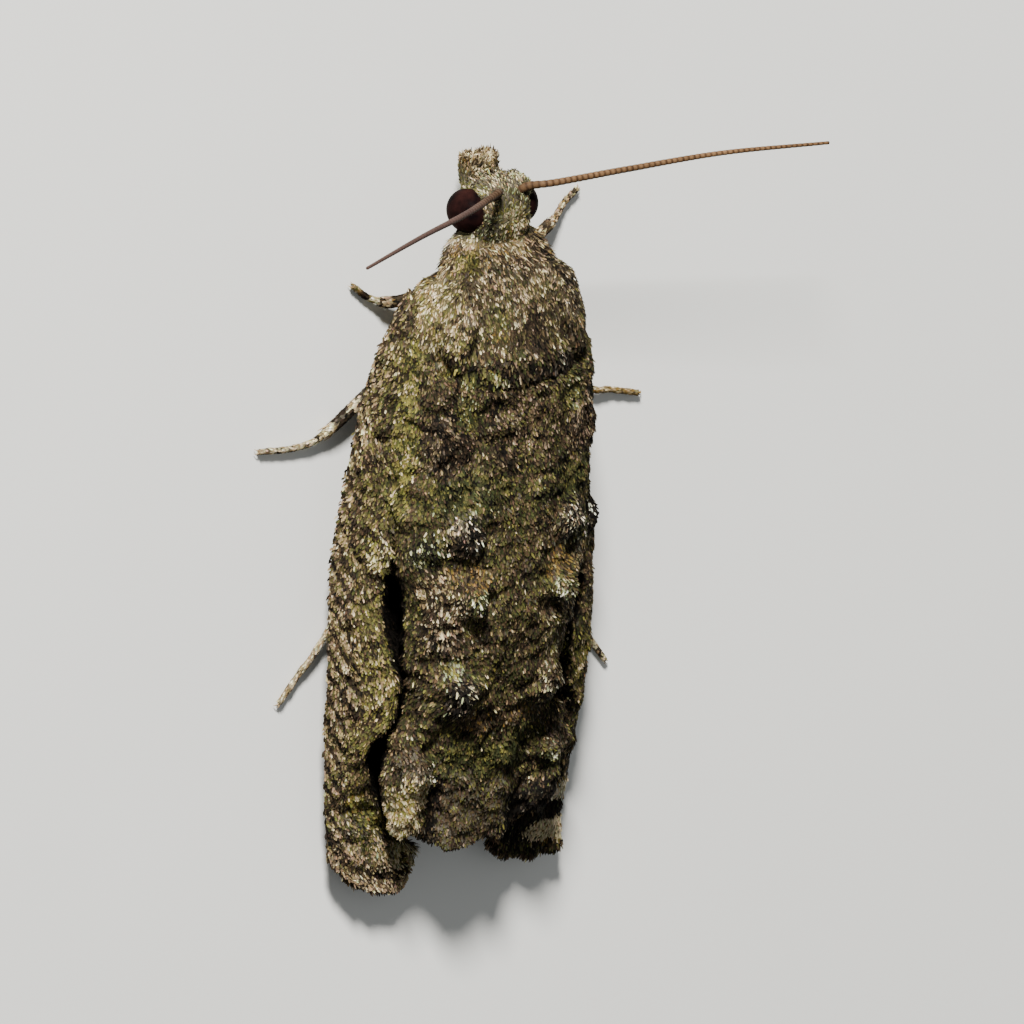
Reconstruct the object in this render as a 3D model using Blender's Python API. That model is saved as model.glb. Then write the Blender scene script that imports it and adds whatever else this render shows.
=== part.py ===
"""A mossy leafroller moth (Tortricidae) at rest on flat ground, as a still, life-size model.

The head points towards -Y, the moth's left side is +X, and the ground is Z = 0. All sizes are
in millimetres until a mesh is made. The coat's depth is part of every solid.
"""
import math

import bmesh
import bpy
import numpy as np

MM = 0.001
GAP = 0.04             # clearance between neighbouring solids
SIDES = {"left": 1.0, "right": -1.0}

# Head
EYE_RADIUS = 0.40
EYE_CENTRE = (0.49, -5.59, 1.05)
EYE_STRETCH = (0.92, 0.96, 1.04)
SCAPE_FOOT = (0.25, -5.88, 1.42)
SCAPE_TOP = (0.36, -6.05, 1.68)
FEELER_RADIUS = 0.25
FEELER_FOOT_RADIUS = 0.10      # where it springs from its first segment
FEELER_TIP_RADIUS = 0.16
SCAPE_PROFILE = ((0.0, 0.15), (0.35, 0.25), (0.75, 0.225), (1.0, 0.10))
LEFT_FEELER = ((0.45, -6.09, 1.74), (1.75, -6.22, 2.62), (3.30, -6.36, 3.50), (5.17, -6.38, 4.50))
RIGHT_FEELER = ((-0.47, -6.09, 1.70), (-2.20, -6.16, 1.92), (-3.95, -6.21, 2.14), (-6.05, -6.05, 2.26))
PALP_HALF_WIDTH = 0.17
# Sections of a palp along Y: share of its half width, top, bottom
PALP_SECTIONS = ((-5.98, 0.84, 0.76, 0.46), (-6.14, 0.97, 0.84, 0.40), (-6.34, 1.00, 0.88, 0.38),
                 (-6.48, 1.00, 0.88, 0.40), (-6.55, 0.84, 0.82, 0.46))

# Legs
LEG_RADIUS = 0.22
FOOT_RADIUS = 0.20     # more than a foot's height, so that the ground cuts its sole flat
KNEE_GAP = 0.05
# Share of the full radius along a femur or tibia
LEG_PROFILE = ((0.0, 0.62), (0.12, 0.92), (0.5, 1.0), (0.88, 0.92), (1.0, 0.62))
FOOT_HEEL = 0.62       # share of the foot's radius at its heel and at its toe
FOOT_TOE = 0.90
LEG_ROUTES = {
    # each leg as hip, knee, ankle, ball and tip of the foot
    "fore_leg_left": ((0.34, -4.36, 0.42), (1.05, -4.16, 0.36), (1.52, -4.06, 0.30),
                      (1.84, -4.10, 0.18), (2.14, -4.28, 0.165)),
    "fore_leg_right": ((-0.34, -4.36, 0.42), (-1.08, -4.58, 0.36), (-1.72, -4.85, 0.30),
                       (-2.14, -5.04, 0.18), (-2.50, -5.21, 0.165)),
    "mid_leg_left": ((0.34, -3.56, 0.42), (1.42, -2.78, 0.30), (2.66, -1.86, 0.28),
                     (3.24, -1.68, 0.18), (3.98, -1.72, 0.165)),
    "mid_leg_right": ((-0.34, -3.56, 0.42), (-1.48, -2.64, 0.30), (-2.74, -1.78, 0.28),
                      (-3.28, -1.62, 0.18), (-3.86, -1.46, 0.165)),
    "hind_leg_left": ((0.34, -2.76, 0.42), (1.62, 0.30, 0.29), (2.66, 1.88, 0.28),
                      (3.00, 2.30, 0.18), (3.38, 2.76, 0.165)),
    "hind_leg_right": ((-0.34, -2.76, 0.42), (-1.64, 0.80, 0.29), (-2.80, 2.36, 0.28),
                       (-3.06, 2.72, 0.18), (-3.38, 3.14, 0.165)),
}

# Forewing: nine lines run along it from the dorsum, at the middle of the back, to the costa,
# its outer edge near the ground. Each has its place across (x) and its height (z) along Y.
DORSUM_X = GAP / 2
BACK_Z = ((-3.0, 2.12), (-2.0, 2.15), (0.0, 2.20), (1.0, 2.18), (2.5, 1.92), (3.5, 1.64),
          (4.5, 1.44), (5.5, 1.26))
CROWN_X = ((-3.0, 0.55), (5.5, 0.50))
VALLEY_X = ((-3.2, 1.02), (3.0, 0.96), (5.4, 0.92))
VALLEY_Z = ((-3.2, 1.98), (-1.0, 2.06), (1.0, 2.02), (2.5, 1.75), (3.5, 1.44), (4.5, 1.20),
            (5.4, 1.04))
SHOULDER_X = ((-4.3, 1.32), (-3.7, 1.48), (-2.2, 1.60), (-1.3, 1.62), (0.0, 1.55), (1.0, 1.45),
              (2.5, 1.30), (3.3, 1.40), (4.4, 1.50), (5.2, 1.40))
SHOULDER_Z = ((-4.3, 1.66), (-3.7, 1.78), (-3.0, 1.83), (-1.3, 1.84), (1.0, 1.78), (2.5, 1.55),
              (3.2, 1.40), (3.8, 1.43), (4.6, 1.36), (5.2, 1.10))
BROW_X = ((-4.3, 1.46), (-3.0, 1.75), (-1.0, 1.90), (0.3, 1.90), (1.0, 1.74), (2.0, 1.66),
          (3.0, 1.50), (3.4, 1.82), (4.1, 1.90), (4.7, 1.80), (5.3, 1.45))
BROW_Z = ((-4.3, 1.35), (-3.0, 1.48), (-1.5, 1.50), (1.0, 1.40), (2.6, 1.22), (3.1, 1.10),
          (3.5, 1.20), (4.4, 1.12), (5.3, 0.84))
GROOVE_X = ((-4.3, 1.50), (-3.0, 1.86), (-1.2, 1.98), (0.2, 1.86), (1.35, 1.66), (2.3, 1.50),
            (2.8, 1.50), (3.3, 1.76), (3.8, 1.82), (4.2, 1.76), (4.8, 1.45), (5.4, 1.04),
            (6.0, 0.76))
GROOVE_Z = ((-4.3, 1.20), (-3.0, 1.30), (-1.2, 1.25), (-0.4, 1.18), (0.2, 0.95), (1.35, 0.86),
            (2.8, 0.82), (3.8, 0.74), (4.4, 0.64), (5.4, 0.52), (6.0, 0.46))
RIDGE_X = ((-4.3, 1.54), (-3.0, 1.95), (-1.2, 2.08), (0.2, 2.10), (1.2, 2.10), (2.15, 1.90),
           (2.45, 1.80), (2.9, 1.86), (3.35, 2.10), (3.65, 2.18), (4.1, 2.00), (4.5, 1.78),
           (5.4, 1.32), (6.1, 1.02), (6.5, 0.92))
RIDGE_Z = ((-4.3, 1.10), (-3.0, 1.18), (-1.2, 1.10), (0.0, 1.22), (1.2, 1.22), (2.45, 1.38),
           (2.9, 1.34), (3.5, 1.10), (4.1, 0.86), (4.6, 0.72), (5.4, 0.58), (6.5, 0.46))
PANEL_X = ((-4.4, 1.58), (-3.0, 2.12), (-1.2, 2.30), (0.5, 2.42), (1.7, 2.46), (2.7, 2.36),
           (3.7, 2.42), (4.5, 2.26), (5.4, 2.00), (6.4, 1.60))
PANEL_Z = ((-4.4, 1.02), (-3.0, 0.98), (-1.2, 0.88), (0.5, 0.90), (2.7, 0.98), (3.7, 0.80),
           (4.5, 0.64), (5.4, 0.58), (6.4, 0.46))
COSTA_X = ((-4.4, 1.62), (-3.9, 1.86), (-3.3, 2.14), (-2.5, 2.32), (-1.1, 2.52), (0.5, 2.69),
           (1.7, 2.75), (2.7, 2.71), (3.7, 2.64), (4.7, 2.54), (5.7, 2.42), (6.4, 2.46))
COSTA_Z = ((-4.4, 0.92), (-3.3, 0.82), (-2.5, 0.74), (-1.1, 0.60), (0.5, 0.52), (1.5, 0.60),
           (2.4, 0.60), (3.2, 0.48), (5.7, 0.44))
WING_LINES = (
    (((-3.0, DORSUM_X), (5.5, DORSUM_X)), BACK_Z), (CROWN_X, BACK_Z), (VALLEY_X, VALLEY_Z),
    (SHOULDER_X, SHOULDER_Z), (BROW_X, BROW_Z), (GROOVE_X, GROOVE_Z), (RIDGE_X, RIDGE_Z),
    (PANEL_X, PANEL_Z), (COSTA_X, COSTA_Z),
)
# Where each line starts at the wing's base, and ends at its termen. The left wing's tip is
# curled in, and the right one's is square.
BASE_Y = (-2.92, -2.93, -2.98, -3.14, -3.70, -4.05, -4.20, -4.32, -4.40)
TERMEN_Y = {"left": (5.50, 5.55, 5.38, 5.20, 5.28, 5.80, 6.46, 6.30, 5.66),
            "right": (5.50, 5.55, 5.38, 5.20, 5.28, 5.76, 6.14, 6.32, 6.30)}
# From the outer face to the inner one, across and down, on each line
WING_DEPTH = ((0.0, -0.50), (-0.05, -0.50), (-0.15, -0.50), (-0.38, -0.40), (-0.48, -0.26),
              (-0.36, -0.36), (-0.22, -0.50), (-0.12, -0.46), (-0.10, -0.24))
UNDER_Z = ((-4.4, 0.64), (-3.0, 0.56), (2.6, 0.54), (3.4, 0.12), (6.5, 0.08))
LEAST_WING_THICKNESS = 0.12
LIP = ((-4.4, 0.26), (-2.9, 0.18), (-1.8, 0.14), (-1.0, 0.24), (0.8, 0.24), (1.5, 0.08),
       (2.4, 0.08), (3.2, 0.26), (5.7, 0.24))
WING_STATIONS = 33
WING_SPLITS = 2        # steps between two neighbouring lines
# Raised scale tufts on each forewing: line (fractional), place along Y, radius, outward
# spread and height
WING_TUFTS = ((2.15, -0.30, 0.30, 0.0, 0.24), (2.0, 0.78, 0.26, 0.0, 0.32),
              (1.95, 2.58, 0.34, 0.0, 0.30), (6.0, 0.05, 0.26, 0.10, 0.20),
              (2.6, 3.95, 0.26, 0.0, 0.12))
HINDWING_LINES = 4     # the hindwing lies under the first lines only
HINDWING_SPAN = (-1.10, 5.20)
HINDWING_DEPTH = 1.12   # of its upper face, where the forewing's inner face is at 1
HINDWING_THICKNESS = 0.42
HINDWING_SLANT = 0.12   # how much sooner each next line ends
HINDWING_STRIDE = 4     # forewing stations to one of the hindwing's

# Body, as sections along Y: half width, top, bottom
HEAD_SECTIONS = ((-6.16, 0.22, 1.20, 0.78), (-6.06, 0.40, 1.42, 0.62), (-5.88, 0.55, 1.58, 0.52),
                 (-5.62, 0.63, 1.68, 0.48), (-5.36, 0.65, 1.64, 0.52), (-5.12, 0.62, 1.52, 0.64))
COLLAR_SECTIONS = ((-5.08, 0.88, 1.52, 0.66), (-4.96, 0.98, 1.62, 0.64), (-4.82, 1.06, 1.72, 0.66))
THORAX_SECTIONS = ((-4.78, 1.08, 1.74, 0.66), (-4.60, 1.18, 1.84, 0.65), (-4.30, 1.26, 1.94, 0.65),
                   (-3.90, 1.30, 2.04, 0.65), (-3.50, 1.28, 2.14, 0.65), (-3.22, 1.22, 2.36, 0.65),
                   (-3.06, 1.10, 2.30, 0.66), (-2.97, 0.90, 2.10, 0.68))
ABDOMEN_SECTIONS = ((-2.92, 0.76, 1.46, 0.68), (-2.20, 0.78, 1.48, 0.66), (-1.60, 0.74, 1.34, 0.64),
                    (-1.15, 0.68, 1.06, 0.60), (-0.40, 0.62, 1.04, 0.42), (0.80, 0.58, 1.00, 0.34),
                    (2.00, 0.50, 0.84, 0.32), (3.00, 0.38, 0.60, 0.28), (3.60, 0.24, 0.46, 0.26))
TEGULA_LINE = ((0.80, -4.68, 1.54), (1.02, -4.42, 1.66), (1.14, -4.00, 1.74), (1.22, -3.60, 1.80),
               (1.20, -3.20, 1.86))
TEGULA_HALF_WIDTH = ((0.0, 0.18), (0.3, 0.40), (0.6, 0.42), (1.0, 0.20))
TEGULA_HALF_THICKNESS = 0.17
TEGULA_FULL_AT = 0.22   # half width from which the flap has its full thickness
TEGULA_TILT = math.radians(36.0)

# Colour, roughness and metallic value of each material
FINISHES = {
    "mossy_wing": ((0.115, 0.108, 0.050), 0.78, 0.0),
    "thorax_scales": ((0.150, 0.130, 0.070), 0.80, 0.0),
    "head_scales": ((0.170, 0.160, 0.095), 0.80, 0.0),
    "collar_scales": ((0.260, 0.200, 0.110), 0.80, 0.0),
    "palp_scales": ((0.300, 0.240, 0.150), 0.80, 0.0),
    "eye": ((0.030, 0.008, 0.008), 0.25, 0.0),
    "feeler": ((0.250, 0.160, 0.080), 0.60, 0.0),
    "leg_dark": ((0.060, 0.045, 0.025), 0.70, 0.0),
    "leg_pale": ((0.420, 0.330, 0.190), 0.70, 0.0),
    "abdomen_scales": ((0.170, 0.140, 0.095), 0.75, 0.0),
    "hindwing_membrane": ((0.120, 0.105, 0.085), 0.60, 0.0),
}


def clear_scene():
    """Empty the scene, so that the script can be run again from the text editor."""
    for obj in list(bpy.data.objects):
        bpy.data.objects.remove(obj, do_unlink=True)


def finish(slot):
    """Principled material of one finish, made once."""
    found = bpy.data.materials.get(slot)
    if found:
        return found
    colour, roughness, metallic = FINISHES[slot]
    material = bpy.data.materials.new(slot)
    material.use_nodes = True
    shader = material.node_tree.nodes["Principled BSDF"]
    shader.inputs["Base Color"].default_value = (*colour, 1.0)
    shader.inputs["Roughness"].default_value = roughness
    shader.inputs["Metallic"].default_value = metallic
    material.diffuse_color = (*colour, 1.0)
    return material


def through(keys, x):
    """Value at x of a smooth curve through (place, value) pairs that never overshoots them."""
    at, value = np.array(keys, float).T
    step = np.diff(at)
    slope = np.diff(value) / step
    tangent = np.zeros_like(value)
    tangent[0] = slope[0]
    tangent[-1] = slope[-1]
    for i in range(1, len(value) - 1):
        if slope[i - 1] * slope[i] > 0.0:
            near = 2.0 * step[i] + step[i - 1]
            far = step[i] + 2.0 * step[i - 1]
            tangent[i] = (near + far) / (near / slope[i - 1] + far / slope[i])
    x = np.clip(x, at[0], at[-1])
    i = np.clip(np.searchsorted(at, x) - 1, 0, len(step) - 1)
    t = (x - at[i]) / step[i]
    start = (1.0 + 2.0 * t) * (1.0 - t) ** 2 * value[i] + t * (1.0 - t) ** 2 * step[i] * tangent[i]
    end = t * t * (3.0 - 2.0 * t) * value[i + 1] + t * t * (t - 1.0) * step[i] * tangent[i + 1]
    return start + end


def smooth_path(points, steps):
    """Points along a smooth curve through a few given ones, with this many steps in each span."""
    points = np.array(points, float)
    padded = np.vstack((2 * points[0] - points[1], points, 2 * points[-1] - points[-2]))
    path = []
    for i in range(len(points) - 1):
        p0, p1, p2, p3 = padded[i:i + 4]
        for t in np.linspace(0.0, 1.0, steps, endpoint=False):
            path.append(0.5 * (2 * p1 + (p2 - p0) * t + (2 * p0 - 5 * p1 + 4 * p2 - p3) * t * t
                               + (3 * p1 - p0 - 3 * p2 + p3) * t ** 3))
    path.append(points[-1])
    return np.array(path)


def add_object(name, vertices, faces, slot):
    """One closed mesh object, its faces pointing out, from vertices in millimetres."""
    mesh = bpy.data.meshes.new(name)
    mesh.from_pydata([tuple(v) for v in np.asarray(vertices) * MM], [], faces)
    shaped = bmesh.new()
    shaped.from_mesh(mesh)
    bmesh.ops.recalc_face_normals(shaped, faces=shaped.faces)
    bmesh.ops.triangulate(shaped, faces=shaped.faces)
    shaped.to_mesh(mesh)
    shaped.free()
    mesh.shade_smooth()
    mesh.materials.append(finish(slot))
    obj = bpy.data.objects.new(name, mesh)
    bpy.context.scene.collection.objects.link(obj)
    return obj


def tube_mesh(rings):
    """Vertices and faces of a stack of equal rings, closed by a fan at each end."""
    rings = np.asarray(rings)
    count, sides = rings.shape[:2]
    vertices = [*rings.reshape(-1, 3), rings[0].mean(axis=0), rings[-1].mean(axis=0)]
    faces = []
    for i in range(count - 1):
        for j in range(sides):
            k = (j + 1) % sides
            faces.append((i * sides + j, i * sides + k, (i + 1) * sides + k, (i + 1) * sides + j))
    first = count * sides
    last = (count - 1) * sides
    for j in range(sides):
        k = (j + 1) % sides
        faces.append((first, k, j))
        faces.append((first + 1, last + j, last + k))
    return vertices, faces


def section_ring(y, half_width, top, bottom, sides, squareness=2.3):
    """Upright rounded ring across the body at one place along it."""
    angle = np.linspace(0.0, 2.0 * math.pi, sides, endpoint=False)
    across = np.sign(np.cos(angle)) * np.abs(np.cos(angle)) ** (2.0 / squareness)
    up = np.sign(np.sin(angle)) * np.abs(np.sin(angle)) ** (2.0 / squareness)
    middle = (top + bottom) / 2.0
    ring = np.zeros((sides, 3))
    ring[:, 0] = half_width * across
    ring[:, 1] = y
    ring[:, 2] = middle + (top - bottom) / 2.0 * up
    return ring


def add_body(name, sections, slot, sides=18, squareness=2.3):
    """Lofted trunk piece from its sections."""
    rings = [section_ring(*section, sides, squareness) for section in sections]
    return add_object(name, *tube_mesh(rings), slot)


def tube_rings(path, radii, sides, floor=None):
    """Round rings square to a path, flattened where they would pass under the floor."""
    path = np.asarray(path, float)
    rings = []
    for i, centre in enumerate(path):
        along = path[min(i + 1, len(path) - 1)] - path[max(i - 1, 0)]
        along = along / np.linalg.norm(along)
        side = np.cross(along, (0.0, 0.0, 1.0))
        side = side / np.linalg.norm(side)
        up = np.cross(side, along)
        angle = np.linspace(0.0, 2.0 * math.pi, sides, endpoint=False) + math.pi / sides
        ring = centre + radii[i] * (np.outer(np.cos(angle), side) + np.outer(np.sin(angle), up))
        if floor is not None:
            ring[:, 2] = np.maximum(ring[:, 2], floor)
        rings.append(ring)
    return rings


def grown(obj, name, by=GAP):
    """Hidden copy of an object, swollen by the clearance, that cuts the clearance from others."""
    mesh = obj.data.copy()
    mesh.name = name
    shaped = bmesh.new()
    shaped.from_mesh(mesh)
    shaped.normal_update()
    moves = [vertex.normal.copy() for vertex in shaped.verts]
    for vertex, move in zip(shaped.verts, moves):
        vertex.co += move * by * MM
    shaped.to_mesh(mesh)
    shaped.free()
    cutter = bpy.data.objects.new(name, mesh)
    bpy.context.scene.collection.objects.link(cutter)
    cutter.hide_render = True
    cutter.display_type = "WIRE"
    return cutter


def cut(obj, cutter):
    """Take a cutter away from an object."""
    boolean = obj.modifiers.new(cutter.name, "BOOLEAN")
    boolean.operation = "DIFFERENCE"
    boolean.solver = "EXACT"
    boolean.object = cutter


def line_weights(splits, lines):
    """Weights of the lines at each step across the wing, for a smooth curve through them."""
    weights = []
    for i in range(lines - 1):
        for t in np.linspace(0.0, 1.0, splits, endpoint=False):
            row = np.zeros(lines + 2)
            row[i:i + 4] += 0.5 * np.array((
                -t + 2 * t ** 2 - t ** 3, 2 - 5 * t ** 2 + 3 * t ** 3,
                t + 4 * t ** 2 - 3 * t ** 3, -t ** 2 + t ** 3))
            row[1] += 2 * row[0]
            row[2] -= row[0]
            row[-2] += 2 * row[-1]
            row[-3] -= row[-1]
            weights.append(row[1:-1])
    weights.append(np.eye(lines)[-1])
    return np.array(weights)


def wing_places(first_y, last_y, lines):
    """Place along Y of every grid point: rows run across the wing, columns along it."""
    across = np.linspace(0.0, lines - 1.0, (lines - 1) * WING_SPLITS + 1)
    ranks = np.arange(lines)
    start = through(list(zip(ranks, first_y)), across)
    end = through(list(zip(ranks, last_y)), across)
    along = np.linspace(0.0, 1.0, WING_STATIONS)
    return across, start[:, None] + (end - start)[:, None] * along[None, :]


def wing_face(across, place, depth):
    """Grid of points on the wing, at a depth under its outer face (1 is the inner face)."""
    lines = int(across[-1]) + 1
    weights = line_weights(WING_SPLITS, lines)
    grid = np.zeros(place.shape + (3,))
    grid[..., 1] = place
    under = through(UNDER_Z, place)
    lip = through(LIP, place)
    for k in range(lines):
        x_keys, z_keys = WING_LINES[k]
        x = through(x_keys, place)
        z = through(z_keys, place)
        dx, dz = WING_DEPTH[k]
        inner = z + dz * depth
        if k == len(WING_LINES) - 1:
            inner = z - lip * depth
        elif depth <= 1.0:
            inner = np.maximum(inner, np.minimum(under, z - LEAST_WING_THICKNESS) * depth + z * (1.0 - depth))
        grid[..., 0] += weights[:, k, None] * (x + dx * depth)
        grid[..., 2] += weights[:, k, None] * inner
    return grid


def raise_tufts(across, grid):
    """Lift the outer face into its scale tufts."""
    for rank, y, radius, spread, height in WING_TUFTS:
        row = int(round(rank * WING_SPLITS))
        column = int(np.argmin(np.abs(grid[row, :, 1] - y)))
        centre = grid[row, column].copy()
        centre[1] = y
        distance = np.linalg.norm(grid - centre, axis=2)
        swell = np.exp(-(distance / radius) ** 2)
        grid[..., 0] += spread * swell
        grid[..., 2] += height * swell
    grid[0, :, 0] = DORSUM_X
    return grid


def sheet_mesh(outer, inner):
    """Vertices and faces of a thick sheet between two grids of the same size."""
    rows, columns = outer.shape[:2]
    vertices = np.vstack((outer.reshape(-1, 3), inner.reshape(-1, 3)))
    lower = rows * columns
    faces = []

    def at(i, j):
        return i * columns + j

    for i in range(rows - 1):
        for j in range(columns - 1):
            quad = (at(i, j), at(i, j + 1), at(i + 1, j + 1), at(i + 1, j))
            faces.append(quad)
            faces.append(tuple(lower + v for v in reversed(quad)))
    rim = [at(0, j) for j in range(columns)]
    rim += [at(i, columns - 1) for i in range(1, rows)]
    rim += [at(rows - 1, j) for j in range(columns - 2, -1, -1)]
    rim += [at(i, 0) for i in range(rows - 2, 0, -1)]
    for a, b in zip(rim, rim[1:] + rim[:1]):
        faces.append((b, a, lower + a, lower + b))
    return vertices, faces


def add_forewing(side):
    """Forewing folded as half a roof over the back, with its panel, groove and tufts."""
    across, place = wing_places(BASE_Y, TERMEN_Y[side], len(WING_LINES))
    outer = raise_tufts(across, wing_face(across, place, 0.0))
    inner = wing_face(across, place, 1.0)
    vertices, faces = sheet_mesh(outer, inner)
    vertices[:, 0] *= SIDES[side]
    return add_object("forewing_" + side, vertices, faces, "mossy_wing")


def add_hindwing(side):
    """Hindwing folded away between the forewing and the abdomen."""
    first = [HINDWING_SPAN[0]] * HINDWING_LINES
    last = [HINDWING_SPAN[1] - HINDWING_SLANT * k for k in range(HINDWING_LINES)]
    across, place = wing_places(first, last, HINDWING_LINES)
    outer = wing_face(across, place[:, ::HINDWING_STRIDE], HINDWING_DEPTH)
    inner = outer - (0.0, 0.0, HINDWING_THICKNESS)
    vertices, faces = sheet_mesh(outer, inner)
    vertices[:, 0] *= SIDES[side]
    return add_object("hindwing_" + side, vertices, faces, "hindwing_membrane")


def add_tegula(side):
    """Flap of long scales that covers the wing's base."""
    path = smooth_path(TEGULA_LINE, 2)
    path[:, 0] *= SIDES[side]
    tilt = TEGULA_TILT * SIDES[side]
    flat = np.array((math.cos(tilt), 0.0, -math.sin(tilt)))
    rise = np.array((math.sin(tilt), 0.0, math.cos(tilt)))
    angle = np.linspace(0.0, 2.0 * math.pi, 10, endpoint=False)
    rings = []
    for i, centre in enumerate(path):
        half_width = float(through(TEGULA_HALF_WIDTH, i / (len(path) - 1.0)))
        half_thickness = TEGULA_HALF_THICKNESS * min(1.0, half_width / TEGULA_FULL_AT)
        rings.append(centre + np.outer(half_width * np.cos(angle), flat)
                     + np.outer(half_thickness * np.sin(angle), rise))
    return add_object("tegula_" + side, *tube_mesh(rings), "thorax_scales")


def add_eye(side):
    """Compound eye, a dome that bulges out of the side of the head."""
    centre = np.array(EYE_CENTRE) * (SIDES[side], 1.0, 1.0)
    shaped = bmesh.new()
    bmesh.ops.create_uvsphere(shaped, u_segments=14, v_segments=9, radius=EYE_RADIUS)
    vertices = np.array([vertex.co[:] for vertex in shaped.verts]) * EYE_STRETCH + centre
    faces = [tuple(vertex.index for vertex in face.verts) for face in shaped.faces]
    shaped.free()
    return add_object("eye_" + side, vertices, faces, "eye")


def add_palp(side):
    """Labial palp, a blunt rough brush that points forward under the head."""
    rings = []
    for y, share, top, bottom in PALP_SECTIONS:
        ring = section_ring(y, share * PALP_HALF_WIDTH, top, bottom, 12, squareness=3.0)
        ring[:, 0] += SIDES[side] * (PALP_HALF_WIDTH + GAP / 2)
        rings.append(ring)
    return add_object("palp_" + side, *tube_mesh(rings), "palp_scales")


def add_scape(side):
    """First, thick segment of the antenna."""
    foot = np.array(SCAPE_FOOT) * (SIDES[side], 1.0, 1.0)
    top = np.array(SCAPE_TOP) * (SIDES[side], 1.0, 1.0)
    path = [foot + (top - foot) * t for t, _ in SCAPE_PROFILE]
    radii = [radius for _, radius in SCAPE_PROFILE]
    return add_object("antenna_" + side + "_scape", *tube_mesh(tube_rings(path, radii, 8)), "feeler")


def add_feeler(side, route):
    """Thread of the antenna beyond its first segment."""
    path = smooth_path(route, 4)
    radii = [FEELER_FOOT_RADIUS] + [FEELER_RADIUS] * (len(path) - 2) + [FEELER_TIP_RADIUS]
    return add_object("antenna_" + side, *tube_mesh(tube_rings(path, radii, 8)), "feeler")


def shortened(start, end, gap):
    """The stretch between two joints, less a clearance at its far end."""
    start = np.array(start, float)
    end = np.array(end, float)
    return start, end - (end - start) / np.linalg.norm(end - start) * gap


def add_leg(name, route):
    """Femur, tibia and a tarsus whose underside is a small flat sole on the ground."""
    hip, knee, ankle, ball, tip = (np.array(p, float) for p in route)
    pieces = (("femur", hip, knee, "leg_dark"), ("tibia", knee, ankle, "leg_dark"))
    made = []
    for part, start, end, slot in pieces:
        start, end = shortened(start, end, KNEE_GAP)
        start = start + (end - start) / np.linalg.norm(end - start) * KNEE_GAP
        path = [start + (end - start) * t for t, _ in LEG_PROFILE]
        radii = [LEG_RADIUS * k for _, k in LEG_PROFILE]
        made.append(add_object(name + "_" + part, *tube_mesh(tube_rings(path, radii, 8, 0.0)), slot))
    start = ankle + (ball - ankle) / np.linalg.norm(ball - ankle) * KNEE_GAP
    path = smooth_path((start, ball, tip), 3)
    radii = [FOOT_RADIUS] * len(path)
    radii[0] *= FOOT_HEEL
    radii[-1] *= FOOT_TOE
    rings = tube_rings(path, radii, 8, 0.0)
    made.append(add_object(name + "_tarsus", *tube_mesh(rings), "leg_pale"))
    return made


def stand_at_origin(nodes):
    """Hang everything on one empty, so that the origin is the middle of the model's underside."""
    corners = []
    for node in nodes:
        for vertex in node.data.vertices:
            corners.append(vertex.co[:])
    corners = np.array(corners)
    low, high = corners.min(axis=0), corners.max(axis=0)
    frame = bpy.data.objects.new("moth_frame", None)
    bpy.context.scene.collection.objects.link(frame)
    frame.location = (-(low[0] + high[0]) / 2.0, -(low[1] + high[1]) / 2.0, -low[2])
    for obj in list(bpy.context.scene.collection.objects):
        if obj is not frame:
            obj.parent = frame


def build_moth():
    clear_scene()
    nodes = [
        add_body("head", HEAD_SECTIONS, "head_scales", sides=16),
        add_body("collar", COLLAR_SECTIONS, "collar_scales"),
        add_body("thorax", THORAX_SECTIONS, "thorax_scales", sides=16),
        add_body("abdomen", ABDOMEN_SECTIONS, "abdomen_scales", sides=14, squareness=2.0),
    ]
    head, thorax = nodes[0], nodes[2]
    for side in SIDES:
        eye = add_eye(side)
        palp = add_palp(side)
        scape = add_scape(side)
        tegula = add_tegula(side)
        forewing = add_forewing(side)
        hindwing = add_hindwing(side)
        feeler = add_feeler(side, LEFT_FEELER if side == "left" else RIGHT_FEELER)
        eye_cutter = grown(eye, "cut_" + eye.name)
        cut(scape, eye_cutter)
        cut(head, eye_cutter)
        cut(head, grown(palp, "cut_" + palp.name))
        cut(head, grown(scape, "cut_" + scape.name))
        tegula_cutter = grown(tegula, "cut_" + tegula.name)
        cut(forewing, tegula_cutter)
        cut(thorax, tegula_cutter)
        cut(thorax, grown(forewing, "cut_" + forewing.name))
        nodes += [eye, palp, scape, tegula, forewing, hindwing, feeler]
    for name, route in LEG_ROUTES.items():
        nodes += add_leg(name, route)
    stand_at_origin(nodes)


build_moth()
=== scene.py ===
"""Looks of the mossy leafroller moth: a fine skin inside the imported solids, a coat of real scales
over it, eyes, feelers, claws, materials, light and camera.

Sizes are in millimetres in the moth's own frame until a piece is made: the head points towards
-Y, the moth's left side is +X, and the ground is Z = 0.
"""
import math

import bmesh
import bpy
import numpy as np
from mathutils import Matrix, Vector


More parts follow.
